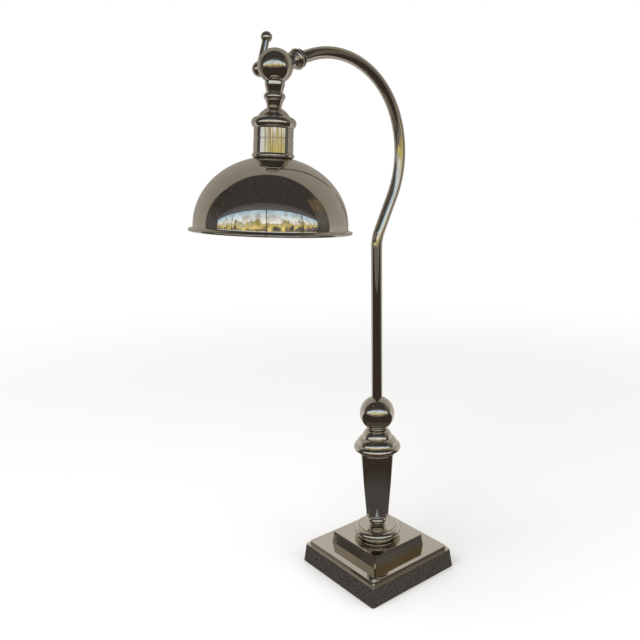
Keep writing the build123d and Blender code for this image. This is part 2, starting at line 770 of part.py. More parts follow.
# Bell-shaped cap of the cup with a rounded rim
sleeve_level = cap_level + cup_cap_height
nut_seat = cap_level + cup_cap_crown
cap_flare_shares = [(0.50, 0.235), (0.885, 0.55)]
cap_rim_shares = [(0.885, 0.55), (1.0, 0.75), (0.87, 0.98)]
cap_inside_shares = [(0.36, 0.27), (0.70, 0.59), (0.78, 0.70)]
with BuildPart() as cup_cap:
    flare = scaled(cap_flare_shares, cup_cap_radius, cup_cap_height, cap_level)
    rim = scaled(cap_rim_shares, cup_cap_radius, cup_cap_height, cap_level)
    inside = scaled(cap_inside_shares, cup_cap_radius, cup_cap_height, cap_level)
    cup_bore_radius = cup_radius - cup_wall
    with BuildSketch(head_profile):
        with BuildLine():
            Polyline(rim[-1], (rim[-1][0], sleeve_level), (inside[-1][0], sleeve_level),
                     *reversed(inside[1:]), (inside[0][0], nut_seat), (nipple_hole_radius, nut_seat),
                     (nipple_hole_radius, cap_level), (neck_waist_radius, cap_level))
            ThreePointArc((neck_waist_radius, cap_level), *flare)
            ThreePointArc(*rim)
        make_face()
    revolve(axis=head_axis)
finish(cup_cap, "cup_cap")

# Sleeve of the cup with its groove
ring_top = sleeve_level + sleeve_length
sleeve_groove_share = 0.42
with BuildPart() as cup_sleeve:
    groove_middle = sleeve_level + sleeve_length * sleeve_groove_share
    groove_top = groove_middle - sleeve_groove_width / 2
    groove_bottom = groove_middle + sleeve_groove_width / 2
    groove_radius = cup_radius - sleeve_groove_depth
    with BuildSketch(head_profile):
        with BuildLine():
            Polyline((cup_bore_radius, sleeve_level), (cup_radius, sleeve_level), (cup_radius, groove_top),
                     (groove_radius, groove_top), (groove_radius, groove_bottom), (cup_radius, groove_bottom),
                     (cup_radius, ring_top), (cup_bore_radius, ring_top), close=True)
        make_face()
    revolve(axis=head_axis)
finish(cup_sleeve, "cup_sleeve")

# Ring under the sleeve, gasket, and the place of the shade
gasket_level = ring_top + cup_ring_height
shade_top = gasket_level + gasket_thickness
holder_hole_radius = holder_skirt_radius + slide_gap
with BuildPart() as cup_ring:
    ring_flat = cup_ring_radius - cup_ring_height / 2
    with BuildSketch(head_profile):
        with BuildLine():
            Polyline((ring_flat, gasket_level), (holder_hole_radius, gasket_level),
                     (holder_hole_radius, ring_top), (ring_flat, ring_top))
            ThreePointArc((ring_flat, ring_top), (cup_ring_radius, (ring_top + gasket_level) / 2),
                          (ring_flat, gasket_level))
        make_face()
    revolve(axis=head_axis)
finish(cup_ring, "cup_ring")

with BuildPart() as shade_gasket:
    with BuildSketch(Plane(origin=pivot + head_down * gasket_level, z_dir=head_down)):
        Circle(gasket_radius)
        Circle(holder_hole_radius, mode=Mode.SUBTRACT)
    extrude(amount=gasket_thickness)
finish(shade_gasket, "shade_gasket")

# Shade: a flat crown, an elliptical dome, a short skirt, a flare and a rolled rim
dome_steps = 12
inner_radius = shade_radius - shade_wall
inner_depth = shade_depth - shade_wall
crown_angle = math.acos(shade_crown_radius / shade_radius)
equator = shade_top + shade_depth * math.sin(crown_angle)
inner_top = shade_top + shade_wall
inner_angle = math.asin((equator - inner_top) / inner_depth)
skirt_end = equator + shade_skirt
flare_end = skirt_end + shade_flare_height
flare_radius = shade_radius + rim_flare - rim_bead_radius


def dome(radius, depth, top_angle):
    """Points of the elliptical dome from its crown down to its widest place."""
    angles = [top_angle * (1 - step / dome_steps) for step in range(dome_steps + 1)]
    return [(radius * math.cos(angle), equator - depth * math.sin(angle)) for angle in angles]


def dome_ends(radius, depth, top_angle):
    """Directions of the dome's outline at its crown and at its widest place."""
    return [(radius * math.sin(top_angle), depth * math.cos(top_angle)), (0, depth)]


with BuildPart() as shade:
    outer_dome = dome(shade_radius, shade_depth, crown_angle)
    inner_dome = dome(inner_radius, inner_depth, inner_angle)
    with BuildSketch(head_profile):
        with BuildLine():
            Polyline(inner_dome[0], (holder_hole_radius, inner_top), (holder_hole_radius, shade_top),
                     outer_dome[0])
            Spline(*outer_dome, tangents=dome_ends(shade_radius, shade_depth, crown_angle))
            Polyline(outer_dome[-1], (shade_radius, skirt_end), (flare_radius, flare_end),
                     (flare_radius - shade_wall, flare_end), (inner_radius, skirt_end), inner_dome[-1])
            Spline(*inner_dome, tangents=dome_ends(inner_radius, inner_depth, inner_angle))
        make_face()
        with Locations((flare_radius, flare_end)):
            Circle(rim_bead_radius)
    revolve(axis=head_axis)
finish(shade, "shade")

# Ring nut that clamps the shade against the cup
with BuildPart() as shade_nut:
    with BuildSketch(Plane(origin=pivot + head_down * inner_top, z_dir=head_down)):
        Circle(shade_nut_radius)
        Circle(holder_hole_radius, mode=Mode.SUBTRACT)
    extrude(amount=shade_nut_height)
finish(shade_nut, "shade_nut")

# Lampholder: body, threaded shell and centre contact
holder_end = inner_top + holder_skirt_length
holder_level = holder_end - holder_length
socket_floor = holder_level + holder_roof
with BuildPart() as holder_body:
    with BuildSketch(head_profile):
        with BuildLine():
            Polyline((nipple_hole_radius, holder_level), (holder_radius, holder_level),
                     (holder_radius, ring_top), (holder_skirt_radius, ring_top),
                     (holder_skirt_radius, holder_end), (holder_shell_radius, holder_end),
                     (holder_shell_radius, socket_floor), (nipple_hole_radius, socket_floor), close=True)
        make_face()
    revolve(axis=head_axis)
finish(holder_body, "holder_body")

shell_end = holder_end
shell_start = shell_end - holder_shell_length
with BuildPart() as holder_shell:
    with BuildSketch(Plane(origin=pivot + head_down * shell_start, z_dir=head_down)):
        Circle(holder_shell_radius - running_gap)
        Circle(holder_shell_radius - running_gap - holder_shell_wall, mode=Mode.SUBTRACT)
    extrude(amount=holder_shell_length)
finish(holder_shell, "holder_shell")

nipple_end = holder_level + nipple_grip
with BuildPart() as holder_contact:
    with BuildSketch(Plane(origin=pivot + head_down * socket_floor, z_dir=head_down)):
        Circle(holder_contact_radius)
    extrude(amount=holder_contact_height)
finish(holder_contact, "holder_contact")

# Bulb: tip, screw cap and glass
tip_level = socket_floor + holder_contact_height
cap_start = tip_level + bulb_tip_height
glass_level = cap_start + bulb_cap_length
with BuildPart() as bulb_tip:
    with BuildSketch(Plane(origin=pivot + head_down * tip_level, z_dir=head_down)):
        Circle(bulb_tip_radius)
    extrude(amount=bulb_tip_height)
finish(bulb_tip, "bulb_tip")

with BuildPart() as bulb_cap:
    with BuildSketch(Plane(origin=pivot + head_down * cap_start, z_dir=head_down)):
        Circle(bulb_cap_radius)
    extrude(amount=bulb_cap_length)
finish(bulb_cap, "bulb_cap")

bulb_cheek_share = 0.55
globe_centre = glass_level + bulb_length - bulb_radius
neck_end = glass_level + bulb_neck_length


def bulb_outline(wall):
    """Neck, cheek, middle and end points of the glass, moved inwards by a wall."""
    radius = bulb_radius - wall
    cheek = radius * bulb_cheek_share
    return [
        (bulb_neck_radius - wall, glass_level),
        (bulb_neck_radius - wall, neck_end),
        (at_depth(radius, cheek), globe_centre - cheek),
        (radius, globe_centre),
        (0, globe_centre + radius),
    ]


with BuildPart() as bulb_glass:
    outer_glass = bulb_outline(0)
    inner_glass = bulb_outline(bulb_wall)
    with BuildSketch(head_profile):
        with BuildLine():
            Polyline(*outer_glass[:3])
            ThreePointArc(*outer_glass[2:])
            Line(outer_glass[-1], inner_glass[-1])
            ThreePointArc(*inner_glass[2:])
            Polyline(*inner_glass[:3])
            Line(inner_glass[0], outer_glass[0])
        make_face()
    revolve(axis=head_axis)
finish(bulb_glass, "bulb_glass")

# Nipple, nut and lead inside the neck
with BuildPart() as neck_nipple:
    with BuildSketch(Plane(origin=pivot + head_down * nipple_top, z_dir=head_down)):
        Circle(nipple_radius)
        Circle(nipple_bore_radius, mode=Mode.SUBTRACT)
    extrude(amount=nipple_end - nipple_top)
finish(neck_nipple, "neck_nipple")

with BuildPart() as cap_nut:
    with BuildSketch(Plane(origin=pivot + head_down * nut_seat, z_dir=head_down)):
        RegularPolygon(cap_nut_across_flats / 2, 6, major_radius=False)
        Circle(nipple_hole_radius, mode=Mode.SUBTRACT)
    extrude(amount=cap_nut_height)
finish(cap_nut, "cap_nut")

with BuildPart() as head_lead:
    with BuildSketch(Plane(origin=pivot + head_down * nipple_top, z_dir=head_down)):
        Circle(lead_radius)
    extrude(amount=nipple_end - nipple_top)
finish(head_lead, "head_lead")
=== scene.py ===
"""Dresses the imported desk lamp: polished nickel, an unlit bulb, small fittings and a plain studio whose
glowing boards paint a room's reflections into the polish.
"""

import json
import logging
import math
from collections.abc import Callable, Iterator
from contextlib import contextmanager
from dataclasses import dataclass
from enum import Enum

import bpy
from bpy.types import Material, Node, NodeSocket, NodeTree, Object
from mathutils import Matrix, Vector

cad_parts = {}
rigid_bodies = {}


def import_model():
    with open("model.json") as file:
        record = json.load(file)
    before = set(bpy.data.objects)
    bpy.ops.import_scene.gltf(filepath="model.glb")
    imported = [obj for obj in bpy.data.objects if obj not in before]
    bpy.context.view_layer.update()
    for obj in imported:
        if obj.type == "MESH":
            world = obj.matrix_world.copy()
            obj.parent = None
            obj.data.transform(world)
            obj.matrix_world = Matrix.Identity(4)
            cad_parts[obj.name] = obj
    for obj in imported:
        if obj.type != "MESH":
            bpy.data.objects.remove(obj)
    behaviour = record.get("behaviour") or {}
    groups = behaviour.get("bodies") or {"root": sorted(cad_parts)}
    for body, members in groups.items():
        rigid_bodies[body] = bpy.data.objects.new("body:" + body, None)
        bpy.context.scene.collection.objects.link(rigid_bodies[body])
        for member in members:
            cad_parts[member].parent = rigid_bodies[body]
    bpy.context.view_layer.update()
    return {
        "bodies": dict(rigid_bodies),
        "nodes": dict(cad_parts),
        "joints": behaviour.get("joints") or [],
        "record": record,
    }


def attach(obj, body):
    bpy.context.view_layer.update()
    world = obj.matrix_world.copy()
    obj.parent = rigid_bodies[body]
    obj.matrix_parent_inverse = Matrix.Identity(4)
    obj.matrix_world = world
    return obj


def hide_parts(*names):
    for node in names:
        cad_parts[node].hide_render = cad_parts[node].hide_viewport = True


LOG = logging.getLogger("desk_lamp")
MM = 0.001
WELD = 0.01 * MM
Point = tuple[float, float]
Spot = tuple[float, float, float]
Colour = tuple[float, float, float]


class Body(Enum):
    """The rigid bodies of the lamp."""

    STAND = "stand"
    HEAD = "head"
    LEVER = "lever"


class Slot(Enum):
    """The record's finishes."""

    NICKEL = "nickel"
    IRON = "iron"
    STEEL = "steel"
    FELT = "felt"
    BLACK_PLASTIC = "black_plastic"
    PHENOLIC = "phenolic"
    BRASS = "brass"
    BULB_METAL = "bulb_metal"
    BULB_GLASS = "bulb_glass"
    FIBRE = "fibre"
    LEAD = "lead"
    GASKET = "gasket"


def deselect() -> None:
    """Leave edit mode and clear the selection."""
    if bpy.context.mode != "OBJECT":
        bpy.ops.object.mode_set(mode="OBJECT")
    bpy.ops.object.select_all(action="DESELECT")


def activate(piece: Object) -> None:
    """Make one piece the only selected and active object.

    Args:
        piece: The object to select.
    """
    deselect()
    piece.select_set(True)
    bpy.context.view_layer.objects.active = piece


def set_down(piece: Object, place: Matrix) -> None:
    """Move a piece to its place and put that place into its mesh.

    Args:
        piece: The piece, made round the origin.
        place: Where it goes in the lamp's frame.
    """
    activate(piece)
    piece.matrix_world = place
    bpy.ops.object.transform_apply(location=True, rotation=True, scale=True)


def smooth(piece: Object, angle: float = 40.0) -> None:
    """Shade a piece smooth except at edges sharper than an angle.

    Args:
        piece: The piece to shade.
        angle: The sharpest smooth edge, in degrees.
    """
    activate(piece)
    bpy.ops.object.shade_smooth_by_angle(angle=math.radians(angle))


def soften(piece: Object, width: float, segments: int = 3, angle: float = 35.0) -> None:
    """Round the sharp edges of a piece and keep its flats flat.

    Args:
        piece: The piece to round.
        width: Width of the rounding in millimetres.
        segments: Number of faces across the rounding.
        angle: Edges sharper than this, in degrees, are rounded.
    """
    activate(piece)
    rounding = piece.modifiers.new("Soft_Edges", "BEVEL")
    rounding.width = width * MM
    rounding.segments = segments
    rounding.limit_method = "ANGLE"
    rounding.angle_limit = math.radians(angle)
    bpy.ops.object.modifier_apply(modifier=rounding.name)
    smooth(piece)
    weights = piece.modifiers.new("Even_Shading", "WEIGHTED_NORMAL")
    weights.keep_sharp = True
    bpy.ops.object.modifier_apply(modifier=weights.name)


def cut(piece: Object, cutter: Object) -> None:
    """Take one piece out of another and delete it.

    Args:
        piece: The piece that is cut.
        cutter: The shape that is taken away.
    """
    activate(piece)
    difference = piece.modifiers.new("Cut", "BOOLEAN")
    difference.operation = "DIFFERENCE"
    difference.solver = "EXACT"
    difference.object = cutter
    bpy.ops.object.modifier_apply(modifier=difference.name)
    bpy.data.objects.remove(cutter)


def join(pieces: list[Object]) -> Object:
    """Join pieces into the first of them.

    Args:
        pieces: The pieces to join.

    Returns:
        The joined piece.
    """
    activate(pieces[0])
    for piece in pieces[1:]:
        piece.select_set(True)
    bpy.ops.object.join()
    return pieces[0]


def along(origin: Vector, axis: Vector) -> Matrix:
    """Place whose own Z axis runs along a direction.

    Args:
        origin: The place's origin in metres.
        axis: Direction of its Z axis.

    Returns:
        The place as a matrix.
    """
    return Matrix.Translation(origin) @ axis.to_track_quat("Z", "X").to_matrix().to_4x4()


class Outline:
    """A turned outline of (radius, height) points in millimetres, drawn from its first point."""

    def __init__(self, radius: float, height: float) -> None:
        """Start the outline at a point."""
        self.points: list[Point] = [(radius, height)]

    def line(self, *ends: Point) -> "Outline":
        """Go straight to one or more points."""
        self.points.extend(ends)
        return self

    def rings(self, end: Point, count: int) -> "Outline":
        """Go straight to a point in equal steps.

        Args:
            end: Where the line ends.
            count: Number of steps.

        Returns:
            The outline itself.
        """
        (ax, ay), (bx, by) = self.points[-1], end
        for step in range(1, count + 1):
            self.points.append((ax + (bx - ax) * step / count, ay + (by - ay) * step / count))
        return self

    def arc(self, middle: Point, end: Point, steps: int = 12) -> "Outline":
        """Go to a point along the circle through the last, a middle and an end point.

        Args:
            middle: A point that the arc passes.
            end: Where the arc ends.
            steps: Number of straight steps along it.

        Returns:
            The outline itself.
        """
        (ax, ay), (bx, by), (cx, cy) = self.points[-1], middle, end
        twice = 2 * (ax * (by - cy) + bx * (cy - ay) + cx * (ay - by))
        a, b, c = ax * ax + ay * ay, bx * bx + by * by, cx * cx + cy * cy
        ux = (a * (by - cy) + b * (cy - ay) + c * (ay - by)) / twice
        uy = (a * (cx - bx) + b * (ax - cx) + c * (bx - ax)) / twice
        start = math.atan2(ay - uy, ax - ux)
        stop = math.atan2(cy - uy, cx - ux)
        turn = (stop - start) % math.tau if twice > 0 else -((start - stop) % math.tau)
        radius = math.hypot(ax - ux, ay - uy)
        for step in range(1, steps):
            angle = start + turn * step / steps
            self.points.append((ux + radius * math.cos(angle), uy + radius * math.sin(angle)))
        self.points.append(end)
        return self

    def dome(self, level: float, radii: Point, start: float, stop: float, steps: int = 40) -> "Outline":
        """Go along an ellipse that opens downwards.

        Args:
            level: Height of the ellipse's widest place.
            radii: Its radius across and its depth.
            start: First angle above the widest place, in radians.
            stop: Last angle above the widest place, in radians.
            steps: Number of straight steps along it.

        Returns:
            The outline itself.
        """
        for step in range(steps + 1):
            angle = start + (stop - start) * step / steps
            self.points.append((radii[0] * math.cos(angle), level - radii[1] * math.sin(angle)))
        return self

    def close(self) -> "Outline":
        """Go straight back to the first point."""
        self.points.append(self.points[0])
        return self


def shares(radius: float, low: float, height: float) -> Callable[[float, float], Point]:
    """Function that gives a point from shares of a radius and of the height above a level.

    Args:
        radius: The whole radius.
        low: The level.
        height: The whole height.

    Returns:
        The function.
    """
    return lambda across, up: (radius * across, low + height * up)


@contextmanager
def editing(kind: str = "VERT") -> Iterator[None]:
    """Edit the active piece with its whole mesh selected, and leave edit mode at the end.

    Args:
        kind: What is selected, points (VERT) or edges (EDGE).
    """
    bpy.ops.object.mode_set(mode="EDIT")
    bpy.ops.mesh.select_mode(type=kind)
    bpy.ops.mesh.select_all(action="SELECT")
    yield
    bpy.ops.object.mode_set(mode="OBJECT")


def face_out() -> None:
    """Turn all faces of the mesh in edit mode outwards."""
    bpy.ops.mesh.select_all(action="SELECT")
    bpy.ops.mesh.normals_make_consistent(inside=False)


def spun(name: str, points: list[Spot], unit: float, steps: int, angle: float = math.tau) -> Object:
    """Draw a line point by point and spin it round the Z axis.

    Args:
        name: Name of the piece.
        points: Where the line goes.
        unit: Length of its unit in metres.
        steps: Number of faces round the axis.
        angle: How far it is spun, in radians.

    Returns:
        The piece, round the origin.
    """
    deselect()
    bpy.ops.mesh.primitive_plane_add(size=MM)
    piece = bpy.context.object
    piece.name = name
    piece.data.name = name
    with editing():
        bpy.ops.mesh.merge(type="CENTER")
        bpy.ops.transform.translate(value=[part * unit for part in points[0]])
        for last, point in zip(points, points[1:]):
            move = [(there - here) * unit for here, there in zip(last, point)]
            bpy.ops.mesh.extrude_vertices_move(TRANSFORM_OT_translate={"value": move})
        bpy.ops.mesh.select_all(action="SELECT")
        bpy.ops.mesh.spin(steps=steps, angle=angle, center=(0, 0, 0), axis=(0, 0, 1))
        bpy.ops.mesh.select_all(action="SELECT")
        bpy.ops.mesh.remove_doubles(threshold=WELD)
        face_out()
    return piece


def turned(name: str, outline: Outline, place: Matrix, steps: int = 144, edge: float = 0.0) -> Object:
    """Spin an outline round its axis and set it in place.

    Args:
        name: Name of the piece.
        outline: The outline to spin.
        place: Where the piece goes; its Z axis is the axis of turning.
        steps: Number of faces round the axis.
        edge: Rounding of its sharp edges in millimetres, or zero for none.

    Returns:
        The finished piece.
    """
    piece = spun(name, [(radius, 0.0, height) for radius, height in outline.points], MM, steps)
    set_down(piece, place)
    if edge:
        soften(piece, edge)
    else:
        smooth(piece)
    return piece


class Graph:
    """A node tree under construction."""

    def __init__(self, tree: NodeTree) -> None:
        """Keep the tree."""
        self.tree: NodeTree = tree

    def feed(self, entry: NodeSocket, value: object) -> None:
        """Link an input to another node's output, or set it to a value.

        Args:
            entry: The input.
            value: The output or the value.
        """
        if isinstance(value, NodeSocket):
            self.tree.links.new(value, entry)
        else:
            entry.default_value = value

    def add(self, kind: str, output: str, *firsts: object, **values: object) -> NodeSocket:
        """Add a node, set its properties and feed its inputs.

        Args:
            kind: The node's type, without ShaderNode before it.
            output: Name of the output that is asked for.
            firsts: What feeds its first inputs, in their order.
            values: Properties in small letters, and inputs with a capital and underscores for spaces.

        Returns:
            The output.
        """
        node = self.tree.nodes.new("ShaderNode" + kind)
        for label, value in values.items():
            if label.islower():
                setattr(node, label, value)
        for count, value in enumerate(firsts):
            self.feed(node.inputs[count], value)
        for label, value in values.items():
            if not label.islower():
                self.feed(node.inputs[label.replace("_", " ")], value)
        return node.outputs[output]


class Effects:
    """Shader groups that several finishes share, each made once."""

    @staticmethod
    def group(name: str, inputs: dict[str, float], outputs: list[str]) -> tuple[Graph, Node, Node]:
        """Start a shader group with named sockets.

        Args:
            name: Name of the group.
            inputs: Names and first values of its number inputs.
            outputs: Names of its number outputs.

        Returns:
            The group with the nodes of its inputs and its outputs.
        """
        tree = bpy.data.node_groups.new(name, "ShaderNodeTree")
        tree.interface.new_socket("Vector", in_out="INPUT", socket_type="NodeSocketVector")
        for label, value in inputs.items():
            entry = tree.interface.new_socket(label, in_out="INPUT", socket_type="NodeSocketFloat")
            entry.default_value = value
        for label in outputs:
            tree.interface.new_socket(label, in_out="OUTPUT", socket_type="NodeSocketFloat")
        return Graph(tree), tree.nodes.new("NodeGroupInput"), tree.nodes.new("NodeGroupOutput")

    @classmethod
    def polish(cls) -> NodeTree:
        """Group of the marks on polished metal: fine hairlines and the haze of handling.

        Returns:
            The group, made once.
        """
        name = "Polish_Marks"
        if name in bpy.data.node_groups:
            return bpy.data.node_groups[name]
        scales = {"Hairline Scale": 260.0, "Haze Scale": 16.0}
        graph, source, result = cls.group(name, scales, ["Hairlines", "Haze"])
        place, fine, broad = (source.outputs[label] for label in ("Vector", *scales))
        bend, stretch = (0.5, 0.35, 0.9), (1.0, 1.0, 0.06)
        slant = graph.add("Mapping", "Vector", Vector=place, Rotation=bend, Scale=stretch)
        hairs = graph.add("TexNoise", "Fac", Vector=slant, Scale=fine, Detail=3.0)
        haze = graph.add("TexNoise", "Fac", Vector=place, Scale=broad, Detail=5.0, Roughness=0.6)
        thin = graph.add("MapRange", "Result", Value=hairs, From_Min=0.56, From_Max=0.72)
        spread = graph.add("MapRange", "Result", Value=haze, From_Min=0.38, From_Max=0.70)
        graph.feed(result.inputs["Hairlines"], thin)
        graph.feed(result.inputs["Haze"], spread)
        return graph.tree

    @classmethod
    def grain(cls) -> NodeTree:
        """Group of a fine grain over a broad mottle, for cast, moulded and woven surfaces.

        Returns:
            The group, made once.
        """
        name = "Surface_Grain"
        if name in bpy.data.node_groups:
            return bpy.data.node_groups[name]
        scales = {"Grain Scale": 900.0, "Mottle Scale": 40.0}
        graph, source, result = cls.group(name, scales, ["Grain", "Mottle"])
        place, fine, broad = (source.outputs[label] for label in ("Vector", *scales))
        graph.feed(result.inputs["Grain"], graph.add("TexVoronoi", "Distance", Vector=place, Scale=fine))
        mottle = graph.add("TexNoise", "Fac", Vector=place, Scale=broad, Detail=6.0)
        graph.feed(result.inputs["Mottle"], mottle)
        return graph.tree


class Sheet(Graph):
    """A material under construction, with its Principled shader."""

    def __init__(self, name: str) -> None:
        """Start a material with a plain Principled shader and Object coordinates.

        Args:
            name: Name of the material.
        """
        self.material: Material = bpy.data.materials.new(name)
        self.material.use_nodes = True
        super().__init__(self.material.node_tree)
        self.shader: Node = self.tree.nodes["Principled BSDF"]
        self.place: NodeSocket = self.add("TexCoord", "Object")

    def look(self, **values: object) -> None:
        """Feed the Principled shader's inputs, named with underscores for spaces."""
        for label, value in values.items():
            self.feed(self.shader.inputs[label.replace("_", " ")], value)

    def show(self, surface: NodeSocket) -> None:
        """Let a shader's output be the surface."""
        self.feed(self.tree.nodes["Material Output"].inputs["Surface"], surface)

    def dress(self, mask: NodeSocket, colours: tuple[Colour, Colour], roughness: Point, height: NodeSocket,
              strength: float, depth: float) -> Material:
        """Vary the colour and the roughness by a mask and raise a relief.

        Args:
            mask: The mask.
            colours: Colours where the mask is zero and one.
            roughness: Roughness where the mask is zero and one.
            height: The relief's height.
            strength: How strongly the relief shows.
            depth: Depth of the relief in millimetres.

        Returns:
            The finished material.
        """
        low, high = ((*colour, 1.0) for colour in colours)
        self.look(
            Base_Color=self.add("Mix", "Result", data_type="RGBA", A=low, B=high, Factor=mask),
            Roughness=self.add("MapRange", "Result", Value=mask, To_Min=roughness[0], To_Max=roughness[1]),
            Normal=self.add("Bump", "Normal", Strength=strength, Distance=depth * MM, Height=height),
        )
        return self.material

    def grained(self, scales: Point, colours: tuple[Colour, Colour], roughness: Point, strength: float,
                depth: float) -> Material:
        """Dress the material with grain and mottle.

        Args:
            scales: Scales of the grain and the mottle.
            colours: Darkest and lightest colour.
            roughness: Least and greatest roughness.
            strength: How strongly the grain shows.
            depth: Depth of the grain in millimetres.

        Returns:
            The finished material.
        """
        group = Effects.grain()
        mottle = self.add("Group", "Mottle", *(self.place, *scales), node_tree=group)
        return self.dress(mottle, colours, roughness, mottle.node.outputs["Grain"], strength, depth)


@dataclass(frozen=True)
class PolishedMetal:
    """A plated or bright metal with hairlines and a faint haze of handling."""

    name: str
    clean: Colour
    hazy: Colour
    roughness: Point
    relief: float = 0.04
    hairlines: float = 260.0
    depth: float = 0.02

    def make(self) -> Material:
        """Build the material with its shader nodes.

        Returns:
            The material.
        """
        sheet = Sheet(self.name)
        sheet.look(Metallic=1.0)
        haze = sheet.add("Group", "Haze", sheet.place, self.hairlines, node_tree=Effects.polish())
        lines = haze.node.outputs["Hairlines"]
        return sheet.dress(haze, (self.clean, self.hazy), self.roughness, lines, self.relief, self.depth)


@dataclass(frozen=True)
class GrainedSurface:
    """A cast, moulded, pressed or woven surface with grain and mottle."""

    name: str
    light: Colour
    dark: Colour
    roughness: Point
    metallic: float = 0.0
    sheen: float = 0.0
    coat: float = 0.0
    grain: float = 900.0
    mottle: float = 40.0
    strength: float = 0.3
    depth: float = 0.1

    def make(self) -> Material:
        """Build the material with its shader nodes.

        Returns:
            The material.
        """
        sheet = Sheet(self.name)
        sheet.look(Metallic=self.metallic, Sheen_Weight=self.sheen, Coat_Weight=self.coat)
        scales, colours = (self.grain, self.mottle), (self.dark, self.light)
        return sheet.grained(scales, colours, self.roughness, self.strength, self.depth)


@dataclass(frozen=True)
class FrostedGlass:
    """Bulb glass, etched on the inside."""

    name: str
    tint: Colour
    roughness: Point
    clear_share: float = 0.55
    dark_share: float = 0.96
    refraction: float = 1.48
    scales: Point = (1500.0, 60.0)
    strength: float = 0.08
    depth: float = 0.02

    def make(self) -> Material:
        """Build the material with its shader nodes.

        Returns:
            The material.
        """
        sheet = Sheet(self.name)
        sheet.look(Transmission_Weight=self.clear_share, IOR=self.refraction)
        colours = (tuple(self.dark_share * part for part in self.tint), self.tint)
        return sheet.grained(self.scales, colours, self.roughness, self.strength, self.depth)


FINISHES = {
    Slot.NICKEL: PolishedMetal(
        "polished_nickel", (0.640, 0.592, 0.520), (0.600, 0.552, 0.480), (0.030, 0.075)
    ),
    Slot.IRON: GrainedSurface(
        "cast_iron", (0.13, 0.13, 0.13), (0.07, 0.07, 0.07), (0.55, 0.75), metallic=0.7, grain=500.0,
        depth=0.3
    ),
    Slot.STEEL: PolishedMetal(
        "zinc_steel", (0.56, 0.56, 0.55), (0.47, 0.47, 0.46), (0.22, 0.36), relief=0.15, hairlines=420.0
    ),
    Slot.FELT: GrainedSurface(
        "dark_felt", (0.05, 0.05, 0.052), (0.022, 0.022, 0.024), (0.88, 0.98), sheen=0.4, grain=1600.0,
        mottle=300.0, strength=0.7, depth=0.35
    ),
    Slot.BLACK_PLASTIC: GrainedSurface(
        "moulded_plastic", (0.035, 0.035, 0.036), (0.022, 0.022, 0.023), (0.42, 0.55), grain=2400.0,
        depth=0.04
    ),
    Slot.PHENOLIC: GrainedSurface(
        "moulded_phenolic", (0.055, 0.042, 0.034), (0.020, 0.015, 0.012), (0.18, 0.30), coat=0.2, grain=700.0,
        mottle=120.0, strength=0.1, depth=0.03
    ),
    Slot.BRASS: PolishedMetal(
        "bright_brass", (0.72, 0.55, 0.27), (0.60, 0.44, 0.20), (0.16, 0.30), relief=0.12
    ),
    Slot.BULB_METAL: PolishedMetal(
        "drawn_aluminium", (0.78, 0.78, 0.78), (0.66, 0.66, 0.66), (0.20, 0.34), relief=0.12, hairlines=380.0
    ),
    Slot.BULB_GLASS: FrostedGlass("frosted_glass", (0.97, 0.96, 0.93), (0.28, 0.40)),
    Slot.FIBRE: GrainedSurface(
        "pressed_fibre", (0.26, 0.19, 0.12), (0.16, 0.11, 0.07), (0.70, 0.85), grain=1100.0, mottle=180.0
    ),
    Slot.LEAD: GrainedSurface(
        "lead_sheath", (0.070, 0.070, 0.072), (0.045, 0.045, 0.046), (0.50, 0.64), grain=1800.0, depth=0.05
    ),
    Slot.GASKET: GrainedSurface(
        "gasket_rubber", (0.040, 0.038, 0.036), (0.024, 0.023, 0.022), (0.58, 0.74), grain=1300.0, depth=0.06
    ),
}
SATIN = PolishedMetal("satin_nickel", (0.62, 0.575, 0.51), (0.57, 0.525, 0.46), (0.26, 0.36), relief=0.20)


class Workshop:
    """Gives finished pieces their finish, body and the node that they stand for."""

    def __init__(self, frame: dict) -> None:
        """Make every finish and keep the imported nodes.
        """
        self.nodes: dict[str, Object] = frame["nodes"]
        parts = frame["record"]["subparts"]
        self.slots: dict[str, str] = {part["node"]: part["material_slot"] for part in parts}
        self.materials: dict[Slot, Material] = {slot: finish.make() for slot, finish in FINISHES.items()}
        self.satin: Material = SATIN.make()

    def fit(self, piece: Object, node: str, body: Body) -> None:
        """Dress a piece, let it ride on a body and stand for a node.

        Args:
            piece: The finished piece.
            node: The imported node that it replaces.
            body: The body that it moves with.
        """
        slot = Slot(self.slots[node])
        piece.data.materials.clear()
        piece.data.materials.append(self.materials[slot])
        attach(piece, body.value)
        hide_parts(node)
        LOG.info("%s stands for %s: %d faces", piece.name, node, len(piece.data.polygons))

    def dress_nodes(self) -> None:
        """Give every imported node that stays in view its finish."""
        for name, node in self.nodes.items():
            node.data.materials.clear()
            node.data.materials.append(self.materials[Slot(self.slots[name])])


